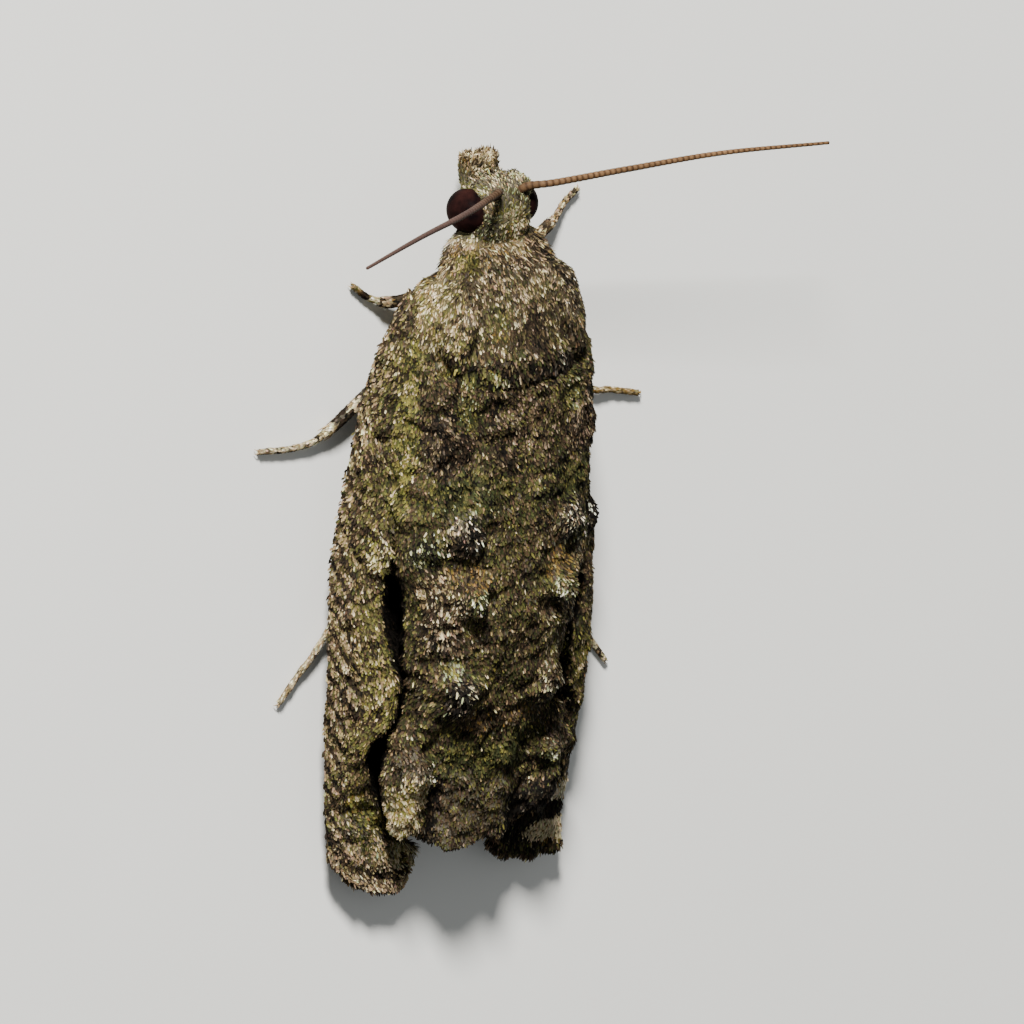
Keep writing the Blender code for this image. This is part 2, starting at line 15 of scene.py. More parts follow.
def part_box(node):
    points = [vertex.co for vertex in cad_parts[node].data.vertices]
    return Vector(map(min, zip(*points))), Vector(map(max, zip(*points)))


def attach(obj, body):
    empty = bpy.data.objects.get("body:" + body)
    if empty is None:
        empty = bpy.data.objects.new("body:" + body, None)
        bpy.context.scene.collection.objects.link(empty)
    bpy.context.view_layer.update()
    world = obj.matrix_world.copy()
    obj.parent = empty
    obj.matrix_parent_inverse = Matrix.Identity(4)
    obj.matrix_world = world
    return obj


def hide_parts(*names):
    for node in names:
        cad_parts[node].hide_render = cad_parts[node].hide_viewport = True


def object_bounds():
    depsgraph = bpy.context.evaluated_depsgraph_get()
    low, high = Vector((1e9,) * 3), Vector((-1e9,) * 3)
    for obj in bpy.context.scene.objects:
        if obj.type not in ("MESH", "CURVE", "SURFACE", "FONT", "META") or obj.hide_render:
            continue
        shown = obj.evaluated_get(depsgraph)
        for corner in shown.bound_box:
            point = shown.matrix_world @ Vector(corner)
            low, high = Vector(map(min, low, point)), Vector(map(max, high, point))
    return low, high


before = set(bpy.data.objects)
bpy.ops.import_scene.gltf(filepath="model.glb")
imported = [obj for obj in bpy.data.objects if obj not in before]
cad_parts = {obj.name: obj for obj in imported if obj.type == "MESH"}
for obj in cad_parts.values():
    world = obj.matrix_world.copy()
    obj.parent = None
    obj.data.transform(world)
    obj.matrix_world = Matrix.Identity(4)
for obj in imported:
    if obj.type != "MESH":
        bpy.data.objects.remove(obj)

MM = 0.001
CAD_LOW, CAD_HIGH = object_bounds()
SIDES = {"left": 1.0, "right": -1.0}
RANDOM = np.random.default_rng(20)

# ---------------------------------------------------------------- the moth's measures
EYE_CENTRE = (0.49, -5.59, 1.05)
COAT_DEPTH = 0.06          # of the scales over the skin
WING_THICKNESS = 0.05
# Steps between rows of scales and between the scales in them, and a scale's length and width
WING_STEPS = (0.025, 0.033)
WING_SCALE = (0.077, 0.036)
TUFT_EXTRA = 320           # more scales on each raised tuft
UNDERWING_STEP = 0.085
UNDERWING_SCALE = (0.15, 0.085)
FRINGE_LAYERS = 4
FRINGE_STEP = 0.020
FRINGE_WIDTH = 0.030
LEG_STEP = 0.045
LEG_TURNS = 13             # scales round a leg
LEG_SCALE = (0.105, 0.050)
LEG_SIDES = 12             # of a leg's skin
LEG_COAT = 0.012           # depth of the scales over a leg
LEG_ROOTS = 0.013          # depth of their roots
WING_ROOTS = 0.024         # height of the wing scales' roots over the skin
# The trunk's coats: spacing of scales, and for the unwrap both ends along Y and a middle height
TRUNK_COATS = {"head": (0.0210, -6.7, -5.1, 1.05), "thorax": (0.0252, -5.15, -2.2, 1.3),
               "abdomen": (0.085, -2.9, 3.7, 0.8)}
HEAD_END = -5.10
NECK_Y = -5.12             # where the thorax's coat begins
COLLAR_END = -4.72
WAIST_Y = -2.72            # where the thorax's coat ends, but for its outer corners
CORNER_END = -2.5
WAIST_HALF = 0.85          # half width of the abdomen's coat
PALP_TOP = 0.98

DORSUM_X = 0.02
BACK_Z = ((-3.0, 2.12), (-2.0, 2.15), (0.0, 2.20), (1.0, 2.18), (2.5, 1.92), (3.5, 1.64),
          (4.5, 1.44), (5.5, 1.26))
CROWN_X = ((-3.0, 0.55), (5.5, 0.50))
VALLEY_X = ((-3.2, 1.02), (3.0, 0.96), (5.4, 0.92))
VALLEY_Z = ((-3.2, 1.98), (-1.0, 2.06), (1.0, 2.02), (2.5, 1.75), (3.5, 1.44), (4.5, 1.20),
            (5.4, 1.04))
SHOULDER_X = ((-4.3, 1.32), (-3.7, 1.48), (-2.2, 1.60), (-1.3, 1.62), (0.0, 1.55), (1.0, 1.45),
              (2.5, 1.30), (3.3, 1.40), (4.4, 1.50), (5.2, 1.40))
SHOULDER_Z = ((-4.3, 1.66), (-3.7, 1.78), (-3.0, 1.83), (-1.3, 1.84), (1.0, 1.78), (2.5, 1.55),
              (3.2, 1.40), (3.8, 1.43), (4.6, 1.36), (5.2, 1.10))
BROW_X = ((-4.3, 1.46), (-3.0, 1.75), (-1.0, 1.90), (0.3, 1.90), (1.0, 1.74), (2.0, 1.66),
          (3.0, 1.50), (3.4, 1.82), (4.1, 1.90), (4.7, 1.80), (5.3, 1.45))
BROW_Z = ((-4.3, 1.35), (-3.0, 1.48), (-1.5, 1.50), (1.0, 1.40), (2.6, 1.22), (3.1, 1.10),
          (3.5, 1.20), (4.4, 1.12), (5.3, 0.84))
GROOVE_X = ((-4.3, 1.50), (-3.0, 1.86), (-1.2, 1.98), (0.2, 1.86), (1.35, 1.66), (2.3, 1.50),
            (2.8, 1.50), (3.3, 1.76), (3.8, 1.82), (4.2, 1.76), (4.8, 1.45), (5.4, 1.04),
            (6.0, 0.76))
GROOVE_Z = ((-4.3, 1.20), (-3.0, 1.30), (-1.2, 1.25), (-0.4, 1.18), (0.2, 0.95), (1.35, 0.86),
            (2.8, 0.82), (3.8, 0.74), (4.4, 0.64), (5.4, 0.58), (6.0, 0.50))
RIDGE_X = ((-4.3, 1.54), (-3.0, 1.95), (-1.2, 2.08), (0.2, 2.10), (1.2, 2.10), (2.15, 1.90),
           (2.45, 1.80), (2.9, 1.86), (3.35, 2.10), (3.65, 2.18), (4.1, 2.00), (4.5, 1.78),
           (5.4, 1.32), (6.1, 1.02), (6.5, 0.92))
RIDGE_Z = ((-4.3, 1.10), (-3.0, 1.18), (-1.2, 1.10), (0.0, 1.22), (1.2, 1.22), (2.45, 1.38),
           (2.9, 1.34), (3.5, 1.10), (4.1, 0.86), (4.6, 0.72), (5.4, 0.58), (6.5, 0.46))
PANEL_X = ((-4.4, 1.58), (-3.0, 2.12), (-1.2, 2.30), (0.5, 2.42), (1.7, 2.46), (2.7, 2.36),
           (3.7, 2.42), (4.5, 2.26), (5.4, 2.00), (6.4, 1.60))
PANEL_Z = ((-4.4, 1.02), (-3.0, 0.98), (-1.2, 0.88), (0.5, 0.90), (2.7, 0.98), (3.7, 0.80),
           (4.5, 0.64), (5.4, 0.58), (6.4, 0.46))
COSTA_X = ((-4.4, 1.62), (-3.9, 1.86), (-3.3, 2.14), (-2.5, 2.32), (-1.1, 2.52), (0.5, 2.69),
           (1.7, 2.75), (2.7, 2.71), (3.7, 2.64), (4.7, 2.54), (5.7, 2.42), (6.4, 2.46))
COSTA_Z = ((-4.4, 0.92), (-3.3, 0.82), (-2.5, 0.74), (-1.1, 0.60), (0.5, 0.52), (1.5, 0.60),
           (2.4, 0.60), (3.2, 0.48), (5.7, 0.44))
WING_LINES = (
    (((-3.0, DORSUM_X), (5.5, DORSUM_X)), BACK_Z), (CROWN_X, BACK_Z), (VALLEY_X, VALLEY_Z),
    (SHOULDER_X, SHOULDER_Z), (BROW_X, BROW_Z), (GROOVE_X, GROOVE_Z), (RIDGE_X, RIDGE_Z),
    (PANEL_X, PANEL_Z), (COSTA_X, COSTA_Z),
)
LINES = len(WING_LINES)
BASE_Y = (-2.92, -2.93, -2.98, -3.14, -3.70, -4.05, -4.20, -4.32, -4.40)
TERMEN_Y = {"left": (5.50, 5.55, 5.38, 5.20, 5.28, 5.80, 6.46, 6.30, 5.66),
            "right": (5.50, 5.55, 5.38, 5.20, 5.28, 5.76, 6.14, 6.32, 6.30)}
# Raised tufts on each forewing: line, place along Y, radius, outward spread, height, and how far
# their scales stand up
TUFTS = ((2.15, -0.30, 0.30, 0.0, 0.24, 0.8), (2.0, 0.78, 0.26, 0.0, 0.32, 0.9),
         (1.95, 2.58, 0.34, 0.0, 0.30, 1.0), (6.0, 0.05, 0.26, 0.04, 0.16, 0.6),
         (2.6, 3.95, 0.26, 0.0, 0.12, 0.6))
TUFT_SQUASH = (1.0, 0.9, 1.0)
RELIEF = ((0.11, 0.62), (0.13, 0.30), (0.07, 0.15))    # height and size of a wing's lumps
RELIEF_SEED = {"left": 3, "right": 7}
BASE_DIP = 0.10            # of the wing's front edge, under the thorax's scales
GROOVE_LINE = 5.0          # the deep groove's middle, and its half width in lines
GROOVE_REACH = 1.0
FOLD_INWARD = 0.22         # of the groove, beyond its line
FOLD_DOWN = 0.20
FRINGE_REACH = 0.13        # of the long scales behind the wing's rear edge
PART_LINES = (-1.0, 2.6, 5.4, 9.0)     # a forewing's coat is three pieces, parted at these lines
LINE_SPLITS = 8
STATIONS = 200
EDGE_GAP = 1.001           # keeps places inside a grid's last cell
INWARD_ROUNDS = 14         # of smoothing the directions in which a wing's thickness is measured
HINDWING_SPAN = (-1.10, 5.20)
HINDWING_LINES = 4
HINDWING_STEP = 4          # columns of the forewing to one of the hindwing
HINDWING_DROP = 0.56
HINDWING_SQUASH = 0.86
HINDWING_THICKNESS = 0.04

# Trunk sections along Y: half width, top, bottom
HEAD_SECTIONS = ((-6.16, 0.22, 1.20, 0.78), (-6.06, 0.40, 1.42, 0.62), (-5.88, 0.55, 1.58, 0.52),
                 (-5.62, 0.63, 1.68, 0.48), (-5.36, 0.65, 1.64, 0.52), (-5.08, 0.61, 1.52, 0.64))
COLLAR_SECTIONS = ((-5.20, 0.76, 1.46, 0.68), (-5.08, 0.88, 1.54, 0.66), (-4.96, 0.98, 1.62, 0.64),
                   (-4.78, 1.07, 1.72, 0.66))
THORAX_SECTIONS = ((-4.90, 1.02, 1.66, 0.66), (-4.60, 1.18, 1.84, 0.65), (-4.30, 1.26, 1.94, 0.65),
                   (-3.90, 1.30, 2.04, 0.65), (-3.50, 1.38, 2.15, 0.65), (-3.20, 1.42, 2.24, 0.65),
                   (-2.95, 1.40, 2.24, 0.66), (-2.72, 1.30, 2.06, 0.68), (-2.60, 1.10, 1.85, 0.70))
ABDOMEN_SECTIONS = ((-3.10, 0.80, 1.46, 0.68), (-2.20, 0.78, 1.48, 0.66), (-1.60, 0.74, 1.34, 0.64),
                    (-1.15, 0.68, 1.06, 0.60), (-0.40, 0.62, 1.04, 0.42), (0.80, 0.58, 1.00, 0.34),
                    (2.00, 0.50, 0.84, 0.32), (3.00, 0.38, 0.60, 0.28), (3.60, 0.24, 0.46, 0.26))
TRUNK_VOXEL = 0.035        # of the grid on which the trunk's parts are joined
TRUNK_SMOOTHING = 5
TEGULA_LINE = ((0.80, -4.68, 1.54), (1.02, -4.42, 1.66), (1.14, -4.00, 1.74), (1.22, -3.60, 1.80),
               (1.20, -3.20, 1.86))
TEGULA_HALF_WIDTH = ((0.0, 0.18), (0.3, 0.40), (0.6, 0.42), (1.0, 0.20))
TEGULA_HALF_THICKNESS = 0.17
TEGULA_TILT = math.radians(36.0)
TEGULA_INSET = {"left": 0.08, "right": 0.02}
PALP_HALF_WIDTH = 0.215
PALP_SECTIONS = ((-6.38, 0.92, 0.82, 0.42), (-6.30, 1.00, 0.88, 0.36), (-6.18, 1.00, 0.90, 0.35),
                 (-6.05, 1.10, 0.90, 0.38), (-5.88, 1.22, 0.90, 0.46))
# Tuft between the right feeler's foot and the eye
EYE_TUFT_X = -0.44
EYE_TUFT_SECTIONS = ((-6.12, 0.06, 1.22, 1.00), (-6.02, 0.16, 1.36, 0.90),
                     (-5.88, 0.19, 1.46, 0.86), (-5.72, 0.10, 1.40, 0.95))
# Shoulder of scales that fills the corner between thorax and wing base
WING_ROOT_X = 1.20
WING_ROOT_SECTIONS = ((-4.52, 0.08, 1.25, 0.90), (-4.38, 0.24, 1.42, 0.80),
                      (-4.10, 0.38, 1.60, 0.74), (-3.70, 0.50, 1.68, 0.72),
                      (-3.35, 0.46, 1.62, 0.75), (-3.05, 0.32, 1.45, 0.85),
                      (-2.80, 0.12, 1.25, 1.00))

SCAPE_FOOT = (0.25, -5.88, 1.42)
FEELERS = {
    "left": ((0.25, -5.88, 1.42), (0.36, -6.05, 1.68), (0.72, -6.08, 1.93), (1.75, -6.16, 2.62),
             (3.30, -6.27, 3.50), (5.17, -6.31, 4.50)),
    "right": ((-0.25, -5.88, 1.38), (-0.40, -6.00, 1.50), (-0.80, -6.07, 1.75),
              (-2.20, -6.13, 1.92), (-3.95, -6.18, 2.14), (-6.05, -6.05, 2.26)),
}
SEGMENTS = 56              # of a feeler
THREAD_RADII = (0.064, 0.028)
THREAD_SIDES = 14
THREAD_TAN = np.array((0.115, 0.066, 0.033))
THREAD_DARK = np.array((0.030, 0.014, 0.007))
THREAD_MAUVE = np.array((0.050, 0.030, 0.027))
# Painted shade: the left feeler takes the right one's colours, darkened to this share
THREAD_PAINTED_SHADE = {"left": 0.62, "right": 1.0}
# Each leg as hip, knee, ankle, ball and tip of the foot
LEGS = {
    "fore_leg_left": ((0.34, -4.36, 0.52), (1.02, -4.00, 0.34), (1.44, -3.92, 0.20),
                      (1.77, -4.02, 0.09), (2.07, -4.25, 0.07)),
    "fore_leg_right": ((-0.34, -4.36, 0.52), (-1.20, -4.52, 0.38), (-1.90, -4.78, 0.20),
                       (-2.22, -5.02, 0.09), (-2.49, -5.21, 0.07)),
    "mid_leg_left": ((0.34, -3.56, 0.52), (1.42, -2.78, 0.34), (2.60, -1.83, 0.16),
                     (3.17, -1.64, 0.09), (3.90, -1.68, 0.07)),
    "mid_leg_right": ((-0.34, -3.56, 0.52), (-1.48, -2.64, 0.34), (-2.80, -1.74, 0.16),
                      (-3.35, -1.58, 0.09), (-3.94, -1.42, 0.07)),
    "hind_leg_left": ((0.34, -2.76, 0.50), (1.62, 0.30, 0.32), (2.60, 1.90, 0.16),
                      (2.93, 2.34, 0.09), (3.31, 2.80, 0.07)),
    "hind_leg_right": ((-0.34, -2.76, 0.50), (-1.64, 0.80, 0.32), (-2.86, 2.40, 0.16),
                       (-3.13, 2.76, 0.09), (-3.46, 3.18, 0.07)),
}
FOOT_SHARE = 0.70          # of a leg's length, where its foot begins
FOOT_JOINT = 0.06          # of its length, for each segment of the foot
SPUR_PLACES = {"fore": (), "mid": (0.655,), "hind": (0.655, 0.56)}
LEG_RADII = ((0.0, 0.13), (0.12, 0.16), (0.30, 0.13), (0.36, 0.085), (0.42, 0.10), (0.58, 0.10),
             (0.66, 0.085), (0.70, 0.062), (1.0, 0.055))

# ---------------------------------------------------------------- colours of single scales
PALETTE = {
    # from dark to bright, so that near neighbours match
    "black": (0.0042, 0.0035, 0.0027),
    "umber": (0.0195, 0.0140, 0.0088),
    "moss": (0.0220, 0.0240, 0.0092),
    "brown": (0.050, 0.0345, 0.0190),
    "grey": (0.058, 0.050, 0.036),
    "olive": (0.059, 0.055, 0.0190),
    "ochre": (0.125, 0.078, 0.022),
    "lime": (0.120, 0.108, 0.028),
    "rose": (0.175, 0.126, 0.082),
    "tan": (0.200, 0.146, 0.073),
    "mint": (0.230, 0.250, 0.140),
    "cream": (0.400, 0.340, 0.210),
    # white: the moth's own pale flecks, and also painted highlight standing in for small glints of
    # light on dark scales
    "white": (0.60, 0.56, 0.44),
}
NAMES = list(PALETTE)
COLOURS = np.array([PALETTE[name] for name in NAMES])
IS_GREEN = np.isin(NAMES, ("moss", "olive", "lime", "mint"))
IS_DARK = np.isin(NAMES, ("black", "umber", "moss"))
SKIN_SHADE = 0.5           # of the skin's colours beside its scales'
LEG_SHADE = 0.6
UNDERWING_TINT = (0.045, 0.036, 0.024)
HINDWING_TINT = (0.06, 0.05, 0.036)
GLOSS = np.array([0.7 if name in ("white", "mint", "cream") else 0.2 for name in NAMES])


def mix(**shares):
    """Shares of the palette, adding up to one."""
    row = np.array([shares.get(name, 0.0) for name in NAMES])
    return row / row.sum()


GROUND = mix(black=6, umber=22, moss=20, brown=22, grey=4, olive=17, lime=3, tan=4, rose=1, cream=1)
# Markings of both forewings or one: side, line and place along Y of the middle, half widths
# (lines, mm), strength and colours
MARKINGS = (
    ("both", 5.0, -2.0, 0.85, 1.9, 0.85,
     mix(olive=34, lime=30, moss=16, tan=7, cream=3, umber=10)),
    ("left", 4.4, -1.9, 0.60, 1.7, 0.9, mix(lime=50, olive=26, moss=12, tan=6, cream=4, umber=2)),
    ("both", 6.9, -2.8, 0.9, 1.4, 0.7,
     mix(umber=28, olive=26, brown=14, lime=12, tan=14, cream=5)),
    ("both", 6.9, 0.5, 0.9, 2.4, 0.75,
     mix(olive=24, brown=22, umber=20, tan=16, lime=10, cream=4)),
    ("both", 6.1, 0.0, 0.5, 0.35, 0.9, mix(cream=18, lime=32, olive=28, umber=14, tan=8)),
    ("both", 6.4, 2.5, 0.6, 0.75, 0.85, mix(lime=38, olive=30, cream=7, umber=14, tan=11)),
    ("both", 6.6, 3.9, 0.7, 0.8, 0.7, mix(olive=34, lime=20, brown=18, tan=14, umber=14)),
    ("both", 2.6, -2.0, 0.75, 0.75, 0.9,
     mix(umber=34, black=26, brown=16, rose=14, grey=8, tan=3)),
    ("both", 0.6, -2.2, 0.7, 0.8, 0.8, mix(umber=32, brown=26, rose=12, black=18, olive=10)),
    ("both", 2.1, -2.5, 0.35, 0.35, 0.7, mix(moss=36, olive=30, mint=8, lime=10, black=12)),
    ("both", 2.0, -1.0, 1.4, 0.36, 0.85, mix(moss=50, olive=22, black=24, lime=3, mint=1)),
    ("both", 2.15, -0.30, 0.50, 0.34, 1.0,
     mix(black=43, umber=16, grey=24, white=4, cream=6, rose=7)),
    ("both", 3.2, -0.05, 0.5, 0.3, 0.9, mix(black=38, moss=30, olive=14, mint=9, white=5)),
    ("both", 1.8, 0.40, 0.8, 0.20, 0.85, mix(ochre=34, brown=34, umber=24, tan=8)),
    ("both", 3.0, 0.62, 0.6, 0.30, 0.85, mix(tan=30, cream=20, brown=22, umber=22)),
    ("both", 2.7, 1.20, 0.7, 0.50, 0.85,
     mix(umber=36, black=16, brown=17, rose=15, tan=5, cream=10, white=1)),
    ("both", 1.7, 0.85, 0.35, 0.20, 0.9, mix(black=30, olive=24, moss=16, mint=20, white=9)),
    ("both", 2.2, 2.05, 0.36, 0.24, 0.9, mix(mint=30, lime=26, olive=24, grey=20)),
    ("both", 2.0, 2.60, 0.55, 0.36, 1.0,
     mix(black=45, umber=12, grey=25, rose=7, mint=5, cream=6)),
    ("right", 1.9, 2.45, 0.5, 0.30, 0.7, mix(brown=34, umber=30, rose=20, cream=10, white=6)),
    ("right", 2.5, 1.9, 1.1, 1.2, 0.6,
     mix(brown=24, olive=20, grey=19, tan=14, umber=10, cream=8, rose=5)),
    ("both", 0.6, 3.15, 0.7, 0.24, 0.85, mix(brown=40, umber=34, ochre=12, rose=8)),
    ("both", 0.7, 3.8, 1.2, 0.5, 0.9, mix(moss=50, black=12, olive=32, lime=6)),
    ("left", 2.4, 4.02, 0.36, 0.20, 0.9, mix(olive=24, grey=24, mint=26, white=13, lime=12)),
    ("right", 2.9, 4.02, 0.36, 0.18, 0.9, mix(olive=24, grey=20, mint=30, white=14, lime=12)),
    ("both", 3.1, 3.75, 0.5, 0.3, 0.85, mix(grey=46, brown=22, rose=12, umber=18)),
    ("left", 3.05, 4.65, 0.95, 0.65, 1.0, mix(tan=28, lime=27, cream=38, ochre=7)),
    # Painted shadow: black laid in the hollow behind the right wing's centre lobe, beside its rear
    # flap
    ("right", 2.8, 5.0, 0.95, 0.48, 1.0, mix(umber=30, black=66, moss=4)),
    ("both", 0.8, 4.9, 1.4, 0.75, 0.95,
     mix(umber=14, grey=34, brown=24, olive=22, rose=4, lime=2)),
    # Painted shade: a black line in the notch between the centre and lateral lobes at the wing's
    # rear
    ("both", 1.85, 4.85, 0.20, 0.60, 1.0, mix(black=60, umber=34, brown=6)),
    ("right", 6.0, 0.05, 0.7, 0.36, 1.0, mix(black=66, umber=14, grey=12, white=8)),
    ("left", 6.8, 5.5, 1.2, 0.55, 0.9, mix(grey=16, olive=17, brown=6, rose=20, tan=29, cream=12)),
    ("left", 6.9, 5.02, 1.0, 0.36, 0.8, mix(moss=26, olive=28, grey=22, umber=12, lime=12)),
    ("left", 6.6, 4.55, 0.55, 0.20, 0.95, mix(lime=52, olive=20, cream=12, ochre=14)),
    ("left", 5.9, 4.95, 0.55, 0.22, 0.95, mix(lime=54, olive=28, ochre=10, cream=8)),
    # The flap's inner side is lime, its own colour, laid paler with cream as painted light where
    # the lobe shades it
    ("left", 4.9, 5.55, 1.15, 0.48, 1.0, mix(lime=36, cream=44, mint=12, ochre=8)),
    # Painted shadow: black over the hollow between the right wing's centre lobe and its rear flap
    ("right", 4.5, 5.30, 2.7, 0.85, 1.0, mix(black=84, umber=16)),
    ("right", 7.7, 5.12, 0.9, 0.24, 1.0, mix(cream=74, white=20, ochre=6)),
    ("right", 7.7, 5.75, 0.9, 0.20, 1.0, mix(cream=84, ochre=16)),
    ("right", 7.2, 5.43, 1.2, 0.12, 1.0, mix(black=50, umber=40, moss=10)),
)
# Painted shadow: near black laid on the scales in each forewing's deep groove, standing in for the
# shade inside the fold
GROOVE_PAINTED_SHADOW = mix(black=94, umber=6)
GROOVE_SHADOW_SHARE = {"left": 1.0, "right": 0.5}      # how much of it each wing's groove takes
PALE_STREAK = mix(tan=38, olive=20, brown=18, rose=15, cream=8)
PALE_RIM = mix(rose=44, tan=26, brown=18, cream=12)
DARK_STREAK = mix(umber=56, black=26, brown=18)
STREAK_STEP = 0.40         # along Y, of the streaks at a wing's front edge
STREAK_SLANT = 0.70        # along Y, from each line to the next
PALE_FRINGE = mix(rose=34, tan=26, brown=24, grey=10, cream=6)
DARK_FRINGE = mix(umber=44, brown=28, black=20, grey=8)
UNDERWING = mix(grey=50, brown=28, tan=10, umber=12)


# ---------------------------------------------------------------- curves and noise
def through(keys, x):
    """Value at x of a smooth curve through (place, value) pairs that never overshoots them."""
    at, value = np.array(keys, float).T
    step = np.diff(at)
    slope = np.diff(value) / step
    tangent = np.zeros_like(value)
    tangent[0] = slope[0]
    tangent[-1] = slope[-1]
    for i in range(1, len(value) - 1):
        if slope[i - 1] * slope[i] > 0.0:
            near = 2.0 * step[i] + step[i - 1]
            far = step[i] + 2.0 * step[i - 1]
            tangent[i] = (near + far) / (near / slope[i - 1] + far / slope[i])
    x = np.clip(x, at[0], at[-1])
    i = np.clip(np.searchsorted(at, x) - 1, 0, len(step) - 1)
    t = (x - at[i]) / step[i]
    start = (1.0 + 2.0 * t) * (1.0 - t) ** 2 * value[i] + t * (1.0 - t) ** 2 * step[i] * tangent[i]
    end = t * t * (3.0 - 2.0 * t) * value[i + 1] + t * t * (t - 1.0) * step[i] * tangent[i + 1]
    return start + end


def smooth_path(points, steps):
    """Points along a smooth curve through a few given ones, with this many steps in each span."""
    points = np.array(points, float)
    padded = np.vstack((2 * points[0] - points[1], points, 2 * points[-1] - points[-2]))
    path = []
    for i in range(len(points) - 1):
        p0, p1, p2, p3 = padded[i:i + 4]
        for t in np.linspace(0.0, 1.0, steps, endpoint=False):
            path.append(0.5 * (2 * p1 + (p2 - p0) * t + (2 * p0 - 5 * p1 + 4 * p2 - p3) * t * t
                               + (3 * p1 - p0 - 3 * p2 + p3) * t ** 3))
    path.append(points[-1])
    return np.array(path)


def arc_length(points):
    """Length along a line of points, up to each of them."""
    return np.concatenate(([0.0], np.cumsum(np.linalg.norm(np.diff(points, axis=0), axis=1))))


def between(at, places, rows):
    """Points or directions at places between those where they are known."""
    return np.stack([np.interp(at, places, rows[:, k]) for k in range(3)], axis=1)


def even_path(points, count):
    """A smooth curve through a few points, as this many equally spaced ones and their shares."""
    path = smooth_path(points, 24)
    length = arc_length(path)
    share = np.linspace(0.0, 1.0, count)
    return between(share * length[-1], length, path), share, length[-1]


HASH = np.array((374761393, 668265263, 1440662683))      # scatters the codes of the noise's cells
HASH_SEED = 974634777
HASH_TURN = 1274126177


def noise(points, size, seed):
    """Smooth random field, 0 to 1, whose features are about this size."""
    scaled = np.asarray(points) / size + 1000.0
    cell = np.floor(scaled).astype(np.int64)
    part = scaled - cell
    part = part * part * (3.0 - 2.0 * part)
    total = np.zeros(scaled.shape[:-1])
    for corner in range(8):
        bit = np.array((corner & 1, corner >> 1 & 1, corner >> 2 & 1))
        spot = cell + bit
        code = (spot @ HASH + seed * HASH_SEED) & 0xFFFFFFFF
        code = ((code ^ (code >> 13)) * HASH_TURN) & 0xFFFFFFFF
        value = ((code ^ (code >> 16)) & 0xFFFF) / 65535.0
        total += value * np.prod(np.where(bit == 1, part, 1.0 - part), axis=-1)
    return total


def unit(vectors):
    """Vectors at length one."""
    return vectors / np.maximum(np.linalg.norm(vectors, axis=-1, keepdims=True), 1e-9)


def smoothstep(low, high, x):
    """0 below low, 1 above high, and smooth between them."""
    t = np.clip((x - low) / (high - low), 0.0, 1.0)
    return t * t * (3.0 - 2.0 * t)


def circle(count):
    """Angles evenly round a circle."""
    return np.linspace(0.0, 2.0 * math.pi, count, endpoint=False)


def sideways(way):
    """Level directions square to these."""
    return unit(np.cross(way, (0.0, 0.0, 1.0)))


def laid(shares, cover, colours):
    """Shares of the palette, or colours, where others cover them from 0 to 1."""
    cover = np.clip(cover, 0.0, 1.0)[:, None]
    return shares * (1.0 - cover) + colours * cover


def varied(value, spread, low, high, count):
    """A measure for each of many scales, spread at random between two shares of it."""
    return value * (1.0 + spread * RANDOM.standard_normal(count)).clip(low, high)


def unwrapped(u, v):
    """Places on a coat's unwrap, a little inside its edges."""
    return np.stack((u, v), axis=1) * 0.98 + 0.01


def joined(found):
    """Rows and columns that were found in several steps."""
    return [np.concatenate(values) for values in zip(*found)]


# ---------------------------------------------------------------- making pieces
def row_frame_shift():
    """Where the moth's own origin lies in the row's frame, in metres, found from the eyes."""
    corners = [*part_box("eye_left"), *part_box("eye_right")]
    middle = np.mean([tuple(corner) for corner in corners], axis=0)
    return middle - np.array((0.0, EYE_CENTRE[1], EYE_CENTRE[2])) * MM


ORIGIN = row_frame_shift()


def in_scene(name, data):
    """New object in the scene."""
    obj = bpy.data.objects.new(name, data)
    bpy.context.scene.collection.objects.link(obj)
    return obj


def face_outward(mesh):
    """Turns a closed mesh's faces outwards."""
    shaped = bmesh.new()
    shaped.from_mesh(mesh)
    bmesh.ops.recalc_face_normals(shaped, faces=shaped.faces)
    shaped.to_mesh(mesh)
    shaped.free()


def add_piece(name, vertices, faces, material, slot, nodes=(), tint=None, gloss=None, uv=None,
              smooth=True):
    """One piece on the moth's body, from vertices in millimetres."""
    mesh = bpy.data.meshes.new(name)
    mesh.from_pydata((np.asarray(vertices) * MM + ORIGIN).tolist(), [], faces)
    mesh.update()
    if tint is not None:
        colour = np.ones((len(vertices), 4))
        colour[:, :3] = tint
        layer = mesh.color_attributes.new(name="tint", type="FLOAT_COLOR", domain="POINT")
        layer.data.foreach_set("color", colour.ravel())
    if gloss is not None:
        layer = mesh.attributes.new(name="gloss", type="FLOAT", domain="POINT")
        layer.data.foreach_set("value", gloss)
    if uv is not None:
        corner = np.empty(len(mesh.loops), dtype=np.int32)
        mesh.loops.foreach_get("vertex_index", corner)
        layer = mesh.uv_layers.new(name="OFBake")
        layer.data.foreach_set("uv", np.asarray(uv)[corner].ravel())
    mesh.polygons.foreach_set("use_smooth", np.full(len(mesh.polygons), smooth))
    mesh.materials.append(material)
    obj = in_scene(name, mesh)
    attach(obj, "root")
    if nodes:
        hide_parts(*nodes)
    return obj


